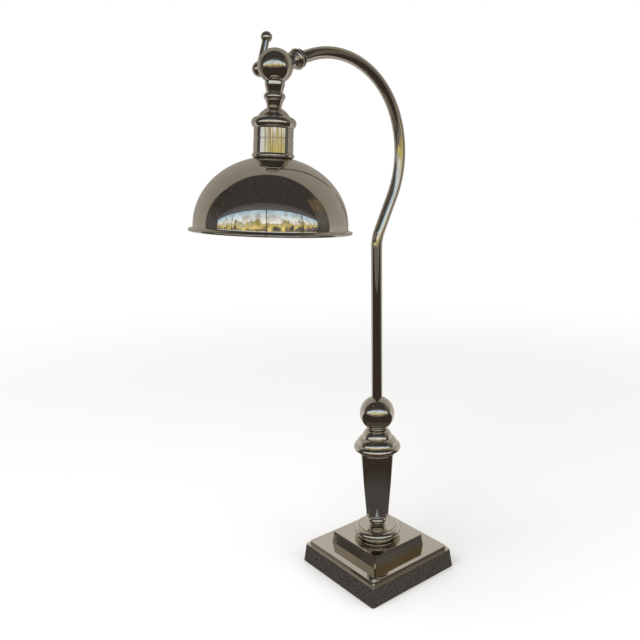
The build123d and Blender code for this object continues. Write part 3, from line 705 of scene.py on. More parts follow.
@dataclass
class Base:
    """The stepped square base and its cord inlet, in millimetres."""

    side: float = 152.4
    lean: float = 2.9
    corner: float = 4.0
    skirt_lift: float = 0.6
    height: float = 25.6
    wall: float = 3.0
    lip: float = 4.0
    riser: float = 4.6
    tier_side: float = 92.6
    tier_lean: float = 2.0
    tier_height: float = 15.6
    tier_corner: float = 1.6
    inlet_height: float = 11.0
    inlet_bore: float = 3.6
    inlet_body: float = 5.8
    inlet_flange: float = 8.5
    inlet_depth: float = 6.0
    inlet_room: float = 0.15
    flange_height: float = 1.8
    flange_edge: float = 0.7
    flange_round: float = 1.3
    flange_bulge: Point = (0.4, 1.45)
    mouth_round: float = 0.9
    mouth_bulge: Point = (0.25, 1.55)
    drill_length: float = 24.0
    edge: float = 0.9
    tier_edge: float = 0.6

    @property
    def top(self) -> float:
        """Level of the plinth's top."""
        return self.height + self.riser

    def block(self, name: str, side: float, corner: float, wall: float, level: float, hollow: float,
              steps: list[Point]) -> Object:
        """Raise a hollow square block from its rounded foot through stepped rims.

        Args:
            name: Name of the piece.
            side: Side of its foot.
            corner: Radius of its corners.
            wall: Thickness at its foot.
            level: Height of its foot.
            hollow: Height of the hollow under it.
            steps: For each rim, its side and its rise above the one before.

        Returns:
            The block.
        """
        deselect()
        bpy.ops.mesh.primitive_plane_add(size=side * MM)
        piece = bpy.context.object
        piece.name = name
        with editing("EDGE"):
            bpy.ops.transform.translate(value=(0, 0, level * MM))
            bpy.ops.mesh.bevel(offset=corner * MM, segments=8, affect="VERTICES")
            bpy.ops.mesh.select_all(action="SELECT")
            bpy.ops.mesh.inset(thickness=wall * MM)
            bpy.ops.mesh.extrude_region_move(TRANSFORM_OT_translate={"value": (0, 0, hollow * MM)})
            bpy.ops.mesh.select_all(action="DESELECT")
            bpy.ops.mesh.select_non_manifold()
            last = side
            for rim, rise in steps:
                bpy.ops.mesh.extrude_edges_move(TRANSFORM_OT_translate={"value": (0, 0, rise * MM)})
                bpy.ops.transform.resize(value=(rim / last, rim / last, 1))
                last = rim
            bpy.ops.mesh.edge_face_add()
            face_out()
        set_down(piece, Matrix.Identity(4))
        return piece

    def inlet(self) -> Matrix:
        """Place of the cord inlet on the leaning rear wall, its Z axis pointing out.

        Returns:
            The place as a matrix.
        """
        lean_height = self.height - self.skirt_lift
        x = self.side / 2 - self.lean * (self.inlet_height - self.skirt_lift) / lean_height
        return along(Vector((x, 0, self.inlet_height)) * MM, Vector((lean_height, 0, self.lean)).normalized())

    def build(self, shop: Workshop) -> None:
        """Build the plinth, the tier and the inlet's bushing.

        Args:
            shop: Dresses and places the pieces.
        """
        lip_side = self.side - 2 * self.lean
        panel_side = lip_side - 2 * self.lip
        plinth = self.block(
            "plinth_shell", self.side, self.corner, self.wall, self.skirt_lift,
            self.height - self.wall - self.skirt_lift,
            [(lip_side, self.height - self.skirt_lift), (panel_side, 0.0), (panel_side, self.riser)],
        )
        soften(plinth, self.edge, segments=4, angle=40.0)
        deselect()
        radius, length = (self.inlet_body + self.inlet_room) * MM, self.drill_length * MM
        bpy.ops.mesh.primitive_cylinder_add(vertices=64, radius=radius, depth=length)
        drill = bpy.context.object
        set_down(drill, self.inlet())
        cut(plinth, drill)
        shop.fit(plinth, "base_plinth", Body.STAND)

        tier_top = self.tier_side - 2 * self.tier_lean
        tier = self.block(
            "tier_shell", self.tier_side, self.tier_corner, self.wall + self.tier_lean, self.top,
            self.tier_height - self.wall, [(tier_top, self.tier_height)],
        )
        soften(tier, self.tier_edge, segments=4, angle=40.0)
        shop.fit(tier, "base_tier", Body.STAND)
        bushing = turned("inlet_bushing", self.bushing(), self.inlet(), steps=72, edge=0.12)
        shop.fit(bushing, "cord_bushing", Body.STAND)

    def bushing(self) -> Outline:
        """Outline of the inlet's bushing: a tube, a flange with a rounded edge and a rounded mouth.

        Returns:
            The outline.
        """
        bore, body, flange, deep = self.inlet_bore, self.inlet_body, self.inlet_flange, -self.inlet_depth
        top, edge = self.flange_height, self.flange_edge
        (fall, swell), (widen, lip) = self.flange_bulge, self.mouth_bulge
        outline = Outline(bore, deep).line((body, deep), (body, 0.0), (flange, 0.0), (flange, edge))
        outline.arc((flange - fall, swell), (flange - self.flange_round, top))
        outline.line((bore + self.mouth_round, top))
        return outline.arc((bore + widen, lip), (bore, top - self.mouth_round)).close()


@dataclass
class Column:
    """The turned pieces from the foot moulding to the ball, in millimetres."""

    level: float = 45.8
    rod_hole: float = 5.2
    moulding_radius: float = 32.8
    moulding_band: float = 30.4
    moulding_top: float = 25.6
    moulding_groove: float = 0.8
    moulding_height: float = 14.2
    moulding_foot: float = 27.0
    bead_radius: float = 12.3
    bead_height: float = 12.2
    bead_seat: float = 9.0
    bead_head: float = 8.5
    column_height: float = 92.8
    foot_radius: float = 15.5
    foot_band: float = 15.7
    foot_height: float = 4.4
    seat_radius: float = 14.0
    head_radius: float = 23.0
    wall: float = 2.5
    ring_radius: float = 24.8
    ring_height: float = 3.0
    capital_radius: float = 32.75
    capital_height: float = 32.0
    collar_radius: float = 14.6
    collar_height: float = 3.6
    ball_radius: float = 24.1
    tube_radius: float = 7.5
    moulding_wall: float = 5.0
    floor: float = 5.0
    spigot: Point = (19.9, 3.0)
    hollow: Point = (17.0, 12.0)
    socket: float = 3.0
    slip: float = 0.05

    @property
    def ball_centre(self) -> float:
        """Level of the ball's centre."""
        seat = (self.level + self.moulding_height + self.bead_height + self.column_height + self.ring_height
                + self.capital_height + self.collar_height)
        return seat + math.sqrt(self.ball_radius**2 - self.collar_radius**2)

    @property
    def tube_level(self) -> float:
        """Level of the tube's lower end, in the ball's socket."""
        return self.ball_centre + self.socket

    def moulding(self) -> Outline:
        """Outline of the foot moulding: foot, half-round band, full swell and a groove round the flat top.

        Returns:
            The outline.
        """
        low, high = self.level, self.level + self.moulding_height
        inner, roof = self.moulding_top - self.moulding_wall, high - self.moulding_wall
        at = shares(self.moulding_radius, low, self.moulding_height)
        belt, band, widest = at(1.0, 0.08)[1], at(1.0, 0.34)[1], at(1.0, 0.575)
        edge = self.moulding_band - (band - belt) / 2
        rim = (self.moulding_top + self.moulding_groove, high - self.moulding_groove)
        over = (rim[0] + (widest[0] - rim[0]) * 0.65, widest[1] + (rim[1] - widest[1]) * 0.72)
        outline = Outline(self.rod_hole, high).line((self.rod_hole, roof), (inner, roof), (inner, low))
        outline.line((self.moulding_foot, low), (self.moulding_foot, belt), (edge, belt))
        outline.arc((self.moulding_band, (belt + band) / 2), (edge, band), 16).line(at(0.91, 0.34))
        outline.arc(at(0.972, 0.425), widest, 12).arc(over, rim, 20)
        outline.line((self.moulding_top, high - 2 * self.moulding_groove), (self.moulding_top, high))
        return outline.close()

    def bead(self, low: float) -> Outline:
        """Outline of the barrel-shaped bead under the column.

        Args:
            low: Level of its lower end.

        Returns:
            The outline.
        """
        high, swell = low + self.bead_height, low + self.bead_height * 0.48
        outline = Outline(self.rod_hole, high).line((self.rod_hole, low), (self.bead_seat, low))
        return outline.arc((self.bead_radius, swell), (self.bead_head, high), 28).close()

    def shaft(self, low: float) -> Outline:
        """Outline of the tapered column with the half-round band at its foot.

        Args:
            low: Level of its lower end.

        Returns:
            The outline.
        """
        floor, foot, high = low + self.floor, low + self.foot_height, low + self.column_height
        outline = Outline(self.rod_hole, floor).line((self.rod_hole, low), (self.seat_radius, low))
        outline.arc((self.foot_band, (low + foot) / 2), (self.seat_radius, foot), 16)
        outline.line((self.foot_radius, foot), (self.head_radius, high), (self.head_radius - self.wall, high))
        return outline.line((self.foot_radius - self.wall, floor)).close()

    def ring(self, low: float) -> Outline:
        """Outline of the ring on the column.

        Args:
            low: Level of its lower end.

        Returns:
            The outline.
        """
        high, edge = low + self.ring_height, self.ring_radius - self.ring_height / 2
        (spigot, depth), hole = self.spigot, self.rod_hole
        end = low - depth
        outline = Outline(hole, high).line((hole, end), (spigot, end), (spigot, low), (edge, low))
        return outline.arc((self.ring_radius, (low + high) / 2), (edge, high), 18).close()

    def capital(self, low: float) -> Outline:
        """Outline of the stepped capital.

        Args:
            low: Level of its lower end.

        Returns:
            The outline.
        """
        at = shares(self.capital_radius, low, self.capital_height)
        (inner, depth), hole = self.hollow, self.rod_hole
        roof = low + depth
        outline = Outline(hole, low + self.capital_height).line((hole, roof), (inner, roof), (inner, low))
        outline.line(at(0.75, 0.0), at(0.93, 0.105)).arc(at(0.985, 0.155), at(1.0, 0.2125))
        outline.arc(at(0.965, 0.31), at(0.885, 0.39)).line(at(0.861, 0.397))
        outline.arc(at(0.793, 0.547), at(0.672, 0.656), 16).line(at(0.641, 0.6625))
        return outline.arc(at(0.574, 0.8525), at(0.44, 1.0), 16).close()

    def collar(self, low: float) -> Outline:
        """Outline of the small ring under the ball.

        Args:
            low: Level of its lower end.

        Returns:
            The outline.
        """
        high, edge = low + self.collar_height, self.collar_radius - self.collar_height / 2
        outline = Outline(self.rod_hole, high).line((self.rod_hole, low), (edge, low))
        return outline.arc((self.collar_radius, (low + high) / 2), (edge, high), 16).close()

    def ball(self) -> Outline:
        """Outline of the ball with its seat and the socket of the tube.

        Returns:
            The outline.
        """
        centre, radius, bore = self.ball_centre, self.ball_radius, self.tube_radius + self.slip
        seat = centre - math.sqrt(radius**2 - self.collar_radius**2)
        mouth = centre + math.sqrt(radius**2 - bore**2)
        outline = Outline(self.rod_hole, seat).line((self.collar_radius, seat))
        outline.arc((radius, centre), (bore, mouth), 56)
        return outline.line((bore, self.tube_level), (self.rod_hole, self.tube_level)).close()

    def build(self, shop: Workshop) -> None:
        """Build the stack of turned pieces from the bottom up.

        Args:
            shop: Dresses and places the pieces.
        """
        upright = Matrix.Identity(4)
        bead_level = self.level + self.moulding_height
        column_level = bead_level + self.bead_height
        ring_level = column_level + self.column_height
        capital_level = ring_level + self.ring_height
        collar_level = capital_level + self.capital_height
        stack = [
            ("foot_ring", self.moulding(), "foot_moulding", 0.35),
            ("foot_round", self.bead(bead_level), "foot_bead", 0.2),
            ("column_shaft", self.shaft(column_level), "column", 0.25),
            ("column_band", self.ring(ring_level), "column_ring", 0.2),
            ("capital_steps", self.capital(capital_level), "capital", 0.2),
            ("ball_seat", self.collar(collar_level), "ball_collar", 0.2),
            ("stem_globe", self.ball(), "stem_ball", 0.25),
        ]
        for name, outline, node, edge in stack:
            shop.fit(turned(name, outline, upright, edge=edge), node, Body.STAND)


@dataclass
class Crook:
    """The bent tube and the collar at its end, in millimetres."""

    start: float
    radius: float = 7.5
    wall: float = 1.2
    stem_top: float = 454.5
    sway_radius: float = 53.0
    sway_angle: float = 26.7
    sway_run: float = 52.0
    side_radius: float = 135.0
    side_angle: float = 20.0
    crown_radius: float = 112.7
    arm_slope: float = 19.0
    arm_run: float = 54.0
    insert: float = 25.0
    collar_start: float = 15.0
    collar_radius: float = 12.9
    boss_reach: float = 24.0
    boss: float = 9.3
    lead: float = 4.2
    slip: float = 0.05
    relief_by_length: float = 0.26
    relief_by_wall: float = 0.75
    round_steps: int = 64
    stem_steps: int = 4
    bend_steps: int = 12
    steps_per_degree: float = 0.9

    def bends(self) -> list[tuple[float, float, float]]:
        """Bends of the tube from the stem to the arm.

        Returns:
            For each bend: its radius, its turn in degrees, left turns positive, and the run after it.
        """
        return [
            (self.sway_radius, -self.sway_angle, self.sway_run),
            (self.side_radius, self.sway_angle + self.side_angle, 0.0),
            (self.crown_radius, 90 - self.side_angle + self.arm_slope, 0.0),
        ]

    def route(self) -> list[tuple[Vector, Vector, Vector, float, float]]:
        """Follow the bends.

        Returns:
            For each bend: its centre, its end, the direction at its end, its turn in radians and its run.
        """
        point, heading = Vector((0, 0, self.stem_top)), Vector((0, 0, 1))
        found = []
        for radius, turn, run in self.bends():
            side = math.copysign(1.0, turn)
            inward = Vector((-heading.z, 0, heading.x)) * side
            centre = point + inward * radius
            spin = Matrix.Rotation(math.radians(-turn), 3, "Y")
            point = centre + spin @ (point - centre)
            heading = spin @ heading
            found.append((centre, point.copy(), heading.copy(), math.radians(turn), run))
            point = point + heading * run
        return found

    @property
    def end(self) -> Vector:
        """End of the crown, where the arm begins."""
        return self.route()[-1][1]

    @property
    def direction(self) -> Vector:
        """Direction of the arm."""
        return self.route()[-1][2]

    @property
    def pivot(self) -> Vector:
        """Centre of the knuckle."""
        return self.end + self.direction * self.arm_run

    def tube(self) -> Object:
        """Extrude and spin a circle along the stem, the bends and the arm.

        Returns:
            The tube with its wall.
        """
        deselect()
        bpy.ops.mesh.primitive_circle_add(vertices=self.round_steps, radius=self.radius * MM)
        piece = bpy.context.object
        piece.name = "crook_pipe"
        with editing("EDGE"):
            bpy.ops.transform.translate(value=(0, 0, self.start * MM))
            rise = (self.stem_top - self.start) * MM / self.stem_steps
            for _ in range(self.stem_steps):
                bpy.ops.mesh.extrude_edges_move(TRANSFORM_OT_translate={"value": (0, 0, rise)})
            for centre, _, heading, turn, run in self.route():
                steps = max(self.bend_steps, int(abs(math.degrees(turn)) * self.steps_per_degree))
                axis = (0, math.copysign(1, turn), 0)
                bpy.ops.mesh.spin(steps=steps, angle=abs(turn), center=centre * MM, axis=axis)
                if run:
                    bpy.ops.mesh.extrude_edges_move(TRANSFORM_OT_translate={"value": heading * run * MM})
            reach = self.direction * self.insert * MM
            bpy.ops.mesh.extrude_edges_move(TRANSFORM_OT_translate={"value": reach})
            face_out()
        thick = piece.modifiers.new("Wall", "SOLIDIFY")
        thick.thickness = self.wall * MM
        thick.offset = -1.0
        bpy.ops.object.modifier_apply(modifier=thick.name)
        smooth(piece)
        return piece

    def collar(self) -> Outline:
        """Outline of the collar: a flange, a waist, a round ring and two beads.

        Returns:
            The outline.
        """
        radius, start = self.collar_radius, self.collar_start
        length = self.arm_run - self.boss_reach - start
        bore = self.radius + self.slip
        relief = min(self.relief_by_length * length, self.relief_by_wall * (radius - bore))

        def at(below: float, far: float) -> Point:
            """Point at shares of the collar's relief below its crest and of its length."""
            return (radius - relief * below, start + length * far)

        outline = Outline(bore, start).line(at(0.43, 0.0), at(0.43, 0.10), at(0.93, 0.12))
        outline.line(at(0.93, 0.19), at(0.73, 0.19)).arc(at(0.0, 0.42), at(0.73, 0.65), 24)
        outline.arc(at(0.54, 0.71), at(0.73, 0.77)).arc(at(0.60, 0.825), at(0.80, 0.88))
        outline.line((self.boss, start + length), (self.lead, start + length), (self.lead, self.insert))
        return outline.line((bore, self.insert)).close()

    def build(self, shop: Workshop) -> None:
        """Build the tube and its collar.

        Args:
            shop: Dresses and places the pieces.
        """
        shop.fit(self.tube(), "crook_tube", Body.STAND)
        collar = turned("arm_rings", self.collar(), along(self.end * MM, self.direction), edge=0.25)
        shop.fit(collar, "arm_collar", Body.STAND)


@dataclass
class Knuckle:
    """The split ball of the tilt joint, in millimetres."""

    pivot: Vector
    arm: Vector
    down: Vector
    radius: float = 21.1
    cavity: float = 14.5
    gap: float = 0.5
    clearance: float = 0.8
    stud: float = 3.05
    stud_boss: float = 6.5
    stud_depth: float = 14.05
    boss: float = 9.3
    boss_reach: float = 24.0
    shoulder: float = 11.7
    neck: float = 9.6
    neck_top: float = 30.0
    spot_face: float = 8.0
    lead: float = 4.2
    nipple: float = 3.5
    shoulder_height: float = 5.0

    def level(self, radius: float, across: float) -> float:
        """Height of a sphere of a radius at a distance from its axis."""
        return math.sqrt(radius**2 - across**2)

    def half(self, name: str, side: float, spot: float) -> Object:
        """Turn one hollow half of the ball about the pivot's axis.

        Args:
            name: Name of the piece.
            side: Plus or minus one, the side of the pivot's plane along Y.
            spot: Radius of the flat for the washer, or zero for a closed half.

        Returns:
            The half ball.
        """
        rim = self.level(self.radius, self.gap)
        inner = self.level(self.cavity, self.gap)
        boss = self.level(self.cavity, self.stud_boss)
        tip = self.level(self.radius, spot)
        floor = tip if spot else self.stud_depth
        middle, inner_middle = self.radius * math.sqrt(0.5), self.cavity * math.sqrt(0.5)
        outline = Outline(self.stud, tip).line((spot, tip)) if spot else Outline(0.0, tip)
        outline.arc((middle, middle), (rim, self.gap), 44).line((inner, self.gap))
        outline.arc((inner_middle, inner_middle), (self.stud_boss, boss), 16)
        outline.line((self.stud_boss, self.gap), (self.stud, self.gap), (self.stud, floor))
        if not spot:
            outline.line((0.0, floor))
        return turned(name, outline, along(self.pivot * MM, Vector((0, side, 0))), edge=0.3)

    def stub(self, name: str, outline: Outline, axis: Vector, side: float) -> Object:
        """Turn a boss and clear it round the other half of the ball.

        Args:
            name: Name of the piece.
            outline: Outline along the boss.
            axis: Direction of the boss from the pivot.
            side: Side of the half that the boss belongs to.

        Returns:
            The boss.
        """
        piece = turned(name, outline, along(self.pivot * MM, axis), edge=0.25)
        deselect()
        clear = (self.radius + self.clearance) * MM
        bpy.ops.mesh.primitive_uv_sphere_add(segments=128, ring_count=64, radius=clear)
        room = bpy.context.object
        set_down(room, Matrix.Translation(self.pivot * MM))
        plane = self.pivot * MM + Vector((0, side * self.gap * MM, 0))
        with editing():
            bpy.ops.mesh.bisect(plane_co=plane, plane_no=(0, side, 0), use_fill=True, clear_outer=True)
        cut(piece, room)
        smooth(piece)
        return piece

    def build(self, shop: Workshop) -> None:
        """Build both halves with their bosses.

        Args:
            shop: Dresses and places the pieces.
        """
        root = (self.cavity + self.radius) / 2 - self.clearance
        boss = Outline(self.lead, root).line((self.boss, root)).rings((self.boss, self.boss_reach), 12)
        boss.line((self.lead, self.boss_reach)).close()
        neck = Outline(self.nipple, root).line((self.shoulder, root))
        neck.rings((self.shoulder, root + self.shoulder_height), 12)
        neck.rings((self.neck, self.neck_top), 10).line((self.nipple, self.neck_top)).close()
        fixed = [self.half("ball_fixed", -1.0, 0.0), self.stub("ball_boss", boss, -self.arm, -1.0)]
        shop.fit(join(fixed), "knuckle_fixed", Body.STAND)
        moving = [self.half("ball_moving", 1.0, self.spot_face), self.stub("ball_neck", neck, self.down, 1.0)]
        shop.fit(join(moving), "knuckle_moving", Body.HEAD)


@dataclass
class Lever:
    """The clamp lever beside the knuckle, in millimetres."""

    pivot: Vector
    spot: float
    washer_radius: float = 7.5
    washer: float = 1.2
    play: float = 0.05
    shank: float = 5.6
    offset: float = 33.1
    hub: float = 9.6
    lean: float = 14.7
    length: float = 40.3
    root: float = 5.0
    tip: float = 4.2
    ball: float = 6.9
    socket: float = 4.5
    stud: float = 3.05
    slip: float = 0.2

    def build(self, shop: Workshop) -> None:
        """Build the washer, the hub, the rod and the ball end.

        Args:
            shop: Dresses and places the pieces.
        """
        across = along(self.pivot * MM, Vector((0, 1, 0)))
        lean = math.radians(self.lean)
        axis = Vector((math.sin(lean), 0, math.cos(lean)))
        stem = along((self.pivot + Vector((0, self.offset, 0))) * MM, axis)
        rest, face, wide = self.spot + self.play, self.spot + self.washer, self.washer_radius
        washer = Outline(self.stud, rest).line((wide, rest), (wide, face), (self.stud, face)).close()

        seat = self.offset - math.sqrt(self.hub**2 - self.shank**2)
        hub = Outline(self.stud, face).line((self.shank, face), (self.shank, seat))
        hub.arc((self.hub, self.offset), (0.0, self.offset + self.hub), 44)
        hub.line((0.0, self.offset), (self.stud, self.offset)).close()

        start, stop = self.hub - self.socket, self.length - self.ball + self.socket
        rod = Outline(0.0, start).line((self.root, start), (self.tip, stop), (0.0, stop))

        mouth = self.tip + self.slip
        seat = self.length - math.sqrt(self.ball**2 - mouth**2)
        ball = Outline(0.0, stop).line((mouth, stop), (mouth, seat))
        ball.arc((self.ball, self.length), (0.0, self.length + self.ball), 40)

        for name, outline, place, steps, edge, node in (
            ("lever_washer", washer, across, 96, 0.25, "clamp_washer"),
            ("lever_boss", hub, across, 112, 0.2, "lever_hub"),
            ("lever_stem", rod, stem, 72, 0.15, "lever_rod"),
            ("lever_knob", ball, stem, 96, 0.15, "lever_ball"),
        ):
            shop.fit(turned(name, outline, place, steps, edge), node, Body.LEVER)


@dataclass
class Head:
    """The neck, the cup, the shade and the bulb, along the head's axis in millimetres from the pivot."""

    pivot: Vector
    down: Vector
    neck_top: float = 30.0
    neck_length: float = 19.0
    neck_radius: float = 9.6
    neck_bead: float = 12.74
    waist: float = 8.5
    bore: float = 5.2
    cap_radius: float = 26.57
    cap_height: float = 24.0
    cup_radius: float = 23.6
    cup_wall: float = 1.8
    sleeve: float = 29.0
    groove: float = 1.4
    groove_depth: float = 0.6
    groove_share: float = 0.42
    ring_radius: float = 25.25
    ring_height: float = 5.5
    gasket: float = 0.8
    holder_hole: float = 17.8
    shade_radius: float = 92.0
    shade_depth: float = 82.0
    crown_radius: float = 24.5
    wall: float = 1.2
    skirt: float = 1.2
    flare_height: float = 5.2
    flare: float = 5.36
    rim_bead: float = 1.7
    flare_bend: Point = (0.55, 2.4)
    inner_bend: float = 0.6
    rim_join: Point = (0.5, 1.62)
    rim_tuck: Point = (0.75, 0.66)
    lining_slope: float = 0.2
    bulb_radius: float = 24.0
    bulb_neck: float = 12.6
    bulb_wall: float = 0.9
    glass_level: float = 110.0
    bulb_length: float = 62.0
    cap_floor: float = 6.5
    bulb_collar: float = 6.0
    cheek_share: float = 0.55
    nut_radius: float = 22.8
    nut_height: float = 5.0
    notch: Spot = (6.0, 3.2, 4.0)
    notch_radius: float = 23.6
    notch_level: float = 4.4
    notches: int = 6

    @property
    def place(self) -> Matrix:
        """Place of the head's axis, its Z axis pointing down from the pivot."""
        return along(self.pivot * MM, self.down)

    @property
    def cap_level(self) -> float:
        """Where the cup's cap begins."""
        return self.neck_top + self.neck_length

    @property
    def ring_top(self) -> float:
        """Where the cup's ring begins."""
        return self.cap_level + self.cap_height + self.sleeve

    @property
    def shade_top(self) -> float:
        """Where the shade begins."""
        return self.ring_top + self.ring_height + self.gasket

    def neck(self) -> Outline:
        """Outline of the neck: a bead and a waist.

        Returns:
            The outline.
        """
        at = shares(self.neck_bead, self.neck_top, self.neck_length)
        outline = Outline(self.bore, self.neck_top).line((self.neck_radius, self.neck_top), at(0.77, 0.06))
        outline.arc(at(1.0, 0.25), at(0.83, 0.50), 24).line(at(0.83, 0.55))
        outline.arc(at(0.71, 0.80), (self.waist, self.cap_level))
        return outline.line((self.bore, self.cap_level)).close()

    def cap(self) -> Outline:
        """Outline of the cap: a low dome, a ledge and a rounded rim.

        Returns:
            The outline.
        """
        level, floor = self.cap_level, self.cap_level + self.cap_floor
        at = shares(self.cap_radius, level, self.cap_height)
        outline = Outline(self.bore, level).line((self.waist, level)).arc(at(0.56, 0.19), at(0.72, 0.41), 20)
        outline.line(at(0.87, 0.47)).arc(at(1.0, 0.72), at(0.87, 0.98), 20)
        outline.line(at(0.87, 1.0), at(0.78, 1.0), at(0.78, 0.70))
        return outline.line(at(0.70, 0.59), (at(0.36, 0.0)[0], floor), (self.bore, floor)).close()

    def sleeve_outline(self) -> Outline:
        """Outline of the cup's cylinder with its groove.

        Returns:
            The outline.
        """
        top, low, radius = self.cap_level + self.cap_height, self.ring_top, self.cup_radius
        middle, inner = top + self.sleeve * self.groove_share, self.cup_radius - self.cup_wall
        high, deep = middle - self.groove / 2, middle + self.groove / 2
        floor = radius - self.groove_depth
        outline = Outline(inner, top).line((radius, top), (radius, high), (floor, high), (floor, deep))
        return outline.line((radius, deep), (radius, low), (inner, low)).close()

    def ring(self) -> Outline:
        """Outline of the rounded ring at the cup's lower end.

        Returns:
            The outline.
        """
        top, low = self.ring_top, self.ring_top + self.ring_height
        edge = self.ring_radius - self.ring_height / 2
        outline = Outline(self.holder_hole, top).line((edge, top))
        outline.arc((self.ring_radius, (top + low) / 2), (edge, low), 20)
        return outline.line((self.holder_hole, low)).close()

    def shade(self) -> Outline:
        """Outline of the shade: crown, dome, skirt, flare, rolled rim and the inside.

        Returns:
            The outline.
        """
        top = self.shade_top
        angle = math.acos(self.crown_radius / self.shade_radius)
        level = top + self.shade_depth * math.sin(angle)
        inner, depth = self.shade_radius - self.wall, self.shade_depth - self.wall
        inner_angle = math.asin((level - top - self.wall) / depth)
        skirt, flare = level + self.skirt, level + self.skirt + self.flare_height
        centre, bead = self.shade_radius + self.flare - self.rim_bead, self.rim_bead
        (bend, drop), (back, up), (tuck, under) = self.flare_bend, self.rim_join, self.rim_tuck
        outline = Outline(self.holder_hole, top)
        outline.dome(level, (self.shade_radius, self.shade_depth), angle, 0.0)
        outline.line((self.shade_radius, skirt))
        outline.arc((self.shade_radius + bend, skirt + drop), (centre - back, flare - up), 6)
        outline.arc((centre + bead, flare), (centre, flare + bead), 12)
        outline.arc((centre - bead * tuck, flare + bead * under), (centre - bead, flare), 6)
        outline.arc((inner + self.inner_bend, skirt + drop), (inner, skirt), 6)
        outline.dome(level, (inner, depth), 0.0, inner_angle)
        return outline.line((self.holder_hole, top + self.wall)).close()

    def bulb(self) -> Outline:
        """Outline of the bulb's glass: a neck, a cheek and a globe, with its inside.

        Returns:
            The outline.
        """
        level, end = self.glass_level, self.glass_level + self.bulb_length

        def side(wall: float) -> tuple[Point, Point, Point, float]:
            """Points of the glass, moved inwards by a wall.

            Args:
                wall: How far they are moved.

            Returns:
                Ends of the neck, the cheek and the globe, and the globe's radius.
            """
            radius = self.bulb_radius - wall
            centre = end - self.bulb_radius
            cheek = radius * self.cheek_share
            return ((self.bulb_neck - wall, level + self.bulb_collar),
                    (math.sqrt(radius**2 - cheek**2), centre - cheek), (0.0, centre + radius), radius)

        neck, cheek, tip, radius = side(0.0)
        outline = Outline(self.bulb_neck, level).line(neck)
        outline.line(cheek).arc((radius, end - self.bulb_radius), tip, 40)
        neck, cheek, tip, radius = side(self.bulb_wall)
        outline.line(tip).arc((radius, end - self.bulb_radius), cheek, 40)
        return outline.line(neck, (self.bulb_neck - self.bulb_wall, level)).close()

    def ring_nut(self) -> Object:
        """Turn the shade's ring nut and cut its spanner notches.

        Returns:
            The nut.
        """
        top = self.shade_top + self.wall
        wide, low, hole = self.nut_radius, top + self.nut_height, self.holder_hole
        outline = Outline(hole, top).line((wide, top), (wide, low), (hole, low)).close()
        nut = turned("shade_ring", outline, self.place, steps=96, edge=0.3)
        shift = Matrix.Translation(Vector((self.notch_radius, 0, top + self.notch_level)) * MM)
        size = Matrix.Diagonal((*(part * MM for part in self.notch), 1.0))
        for count in range(self.notches):
            deselect()
            bpy.ops.mesh.primitive_cube_add(size=1.0)
            notch = bpy.context.object
            turn = Matrix.Rotation(math.tau * count / self.notches, 4, "Z")
            set_down(notch, self.place @ turn @ shift @ size)
            cut(nut, notch)
        smooth(nut)
        return nut

    def line_shade(self, shade: Object, satin: Material) -> None:
        """Give the inside of the shade its satin finish.

        Args:
            shade: The finished shade.
            satin: The satin material.
        """
        shade.data.materials.append(satin)
        turn = self.place.inverted()
        bottom = self.shade_top + self.shade_depth
        for face in shade.data.polygons:
            centre = turn @ face.center
            normal = turn.to_3x3() @ face.normal
            inward = centre.x * normal.x + centre.y * normal.y < 0 or normal.z > self.lining_slope
            if inward and centre.z < bottom * MM:
                face.material_index = 1

    def build(self, shop: Workshop) -> None:
        """Build the head's turned pieces.

        Args:
            shop: Dresses and places the pieces.
        """
        pieces = [
            ("neck_turned", self.neck(), "neck_stem", 0.25),
            ("cup_bell", self.cap(), "cup_cap", 0.25),
            ("cup_barrel", self.sleeve_outline(), "cup_sleeve", 0.2),
            ("cup_round", self.ring(), "cup_ring", 0.2),
            ("bulb_globe", self.bulb(), "bulb_glass", 0.0),
        ]
        for name, outline, node, edge in pieces:
            shop.fit(turned(name, outline, self.place, edge=edge), node, Body.HEAD)
        shade = turned("shade_spun", self.shade(), self.place, steps=200)
        shop.fit(shade, "shade", Body.HEAD)
        self.line_shade(shade, shop.satin)
        shop.fit(self.ring_nut(), "shade_nut", Body.HEAD)


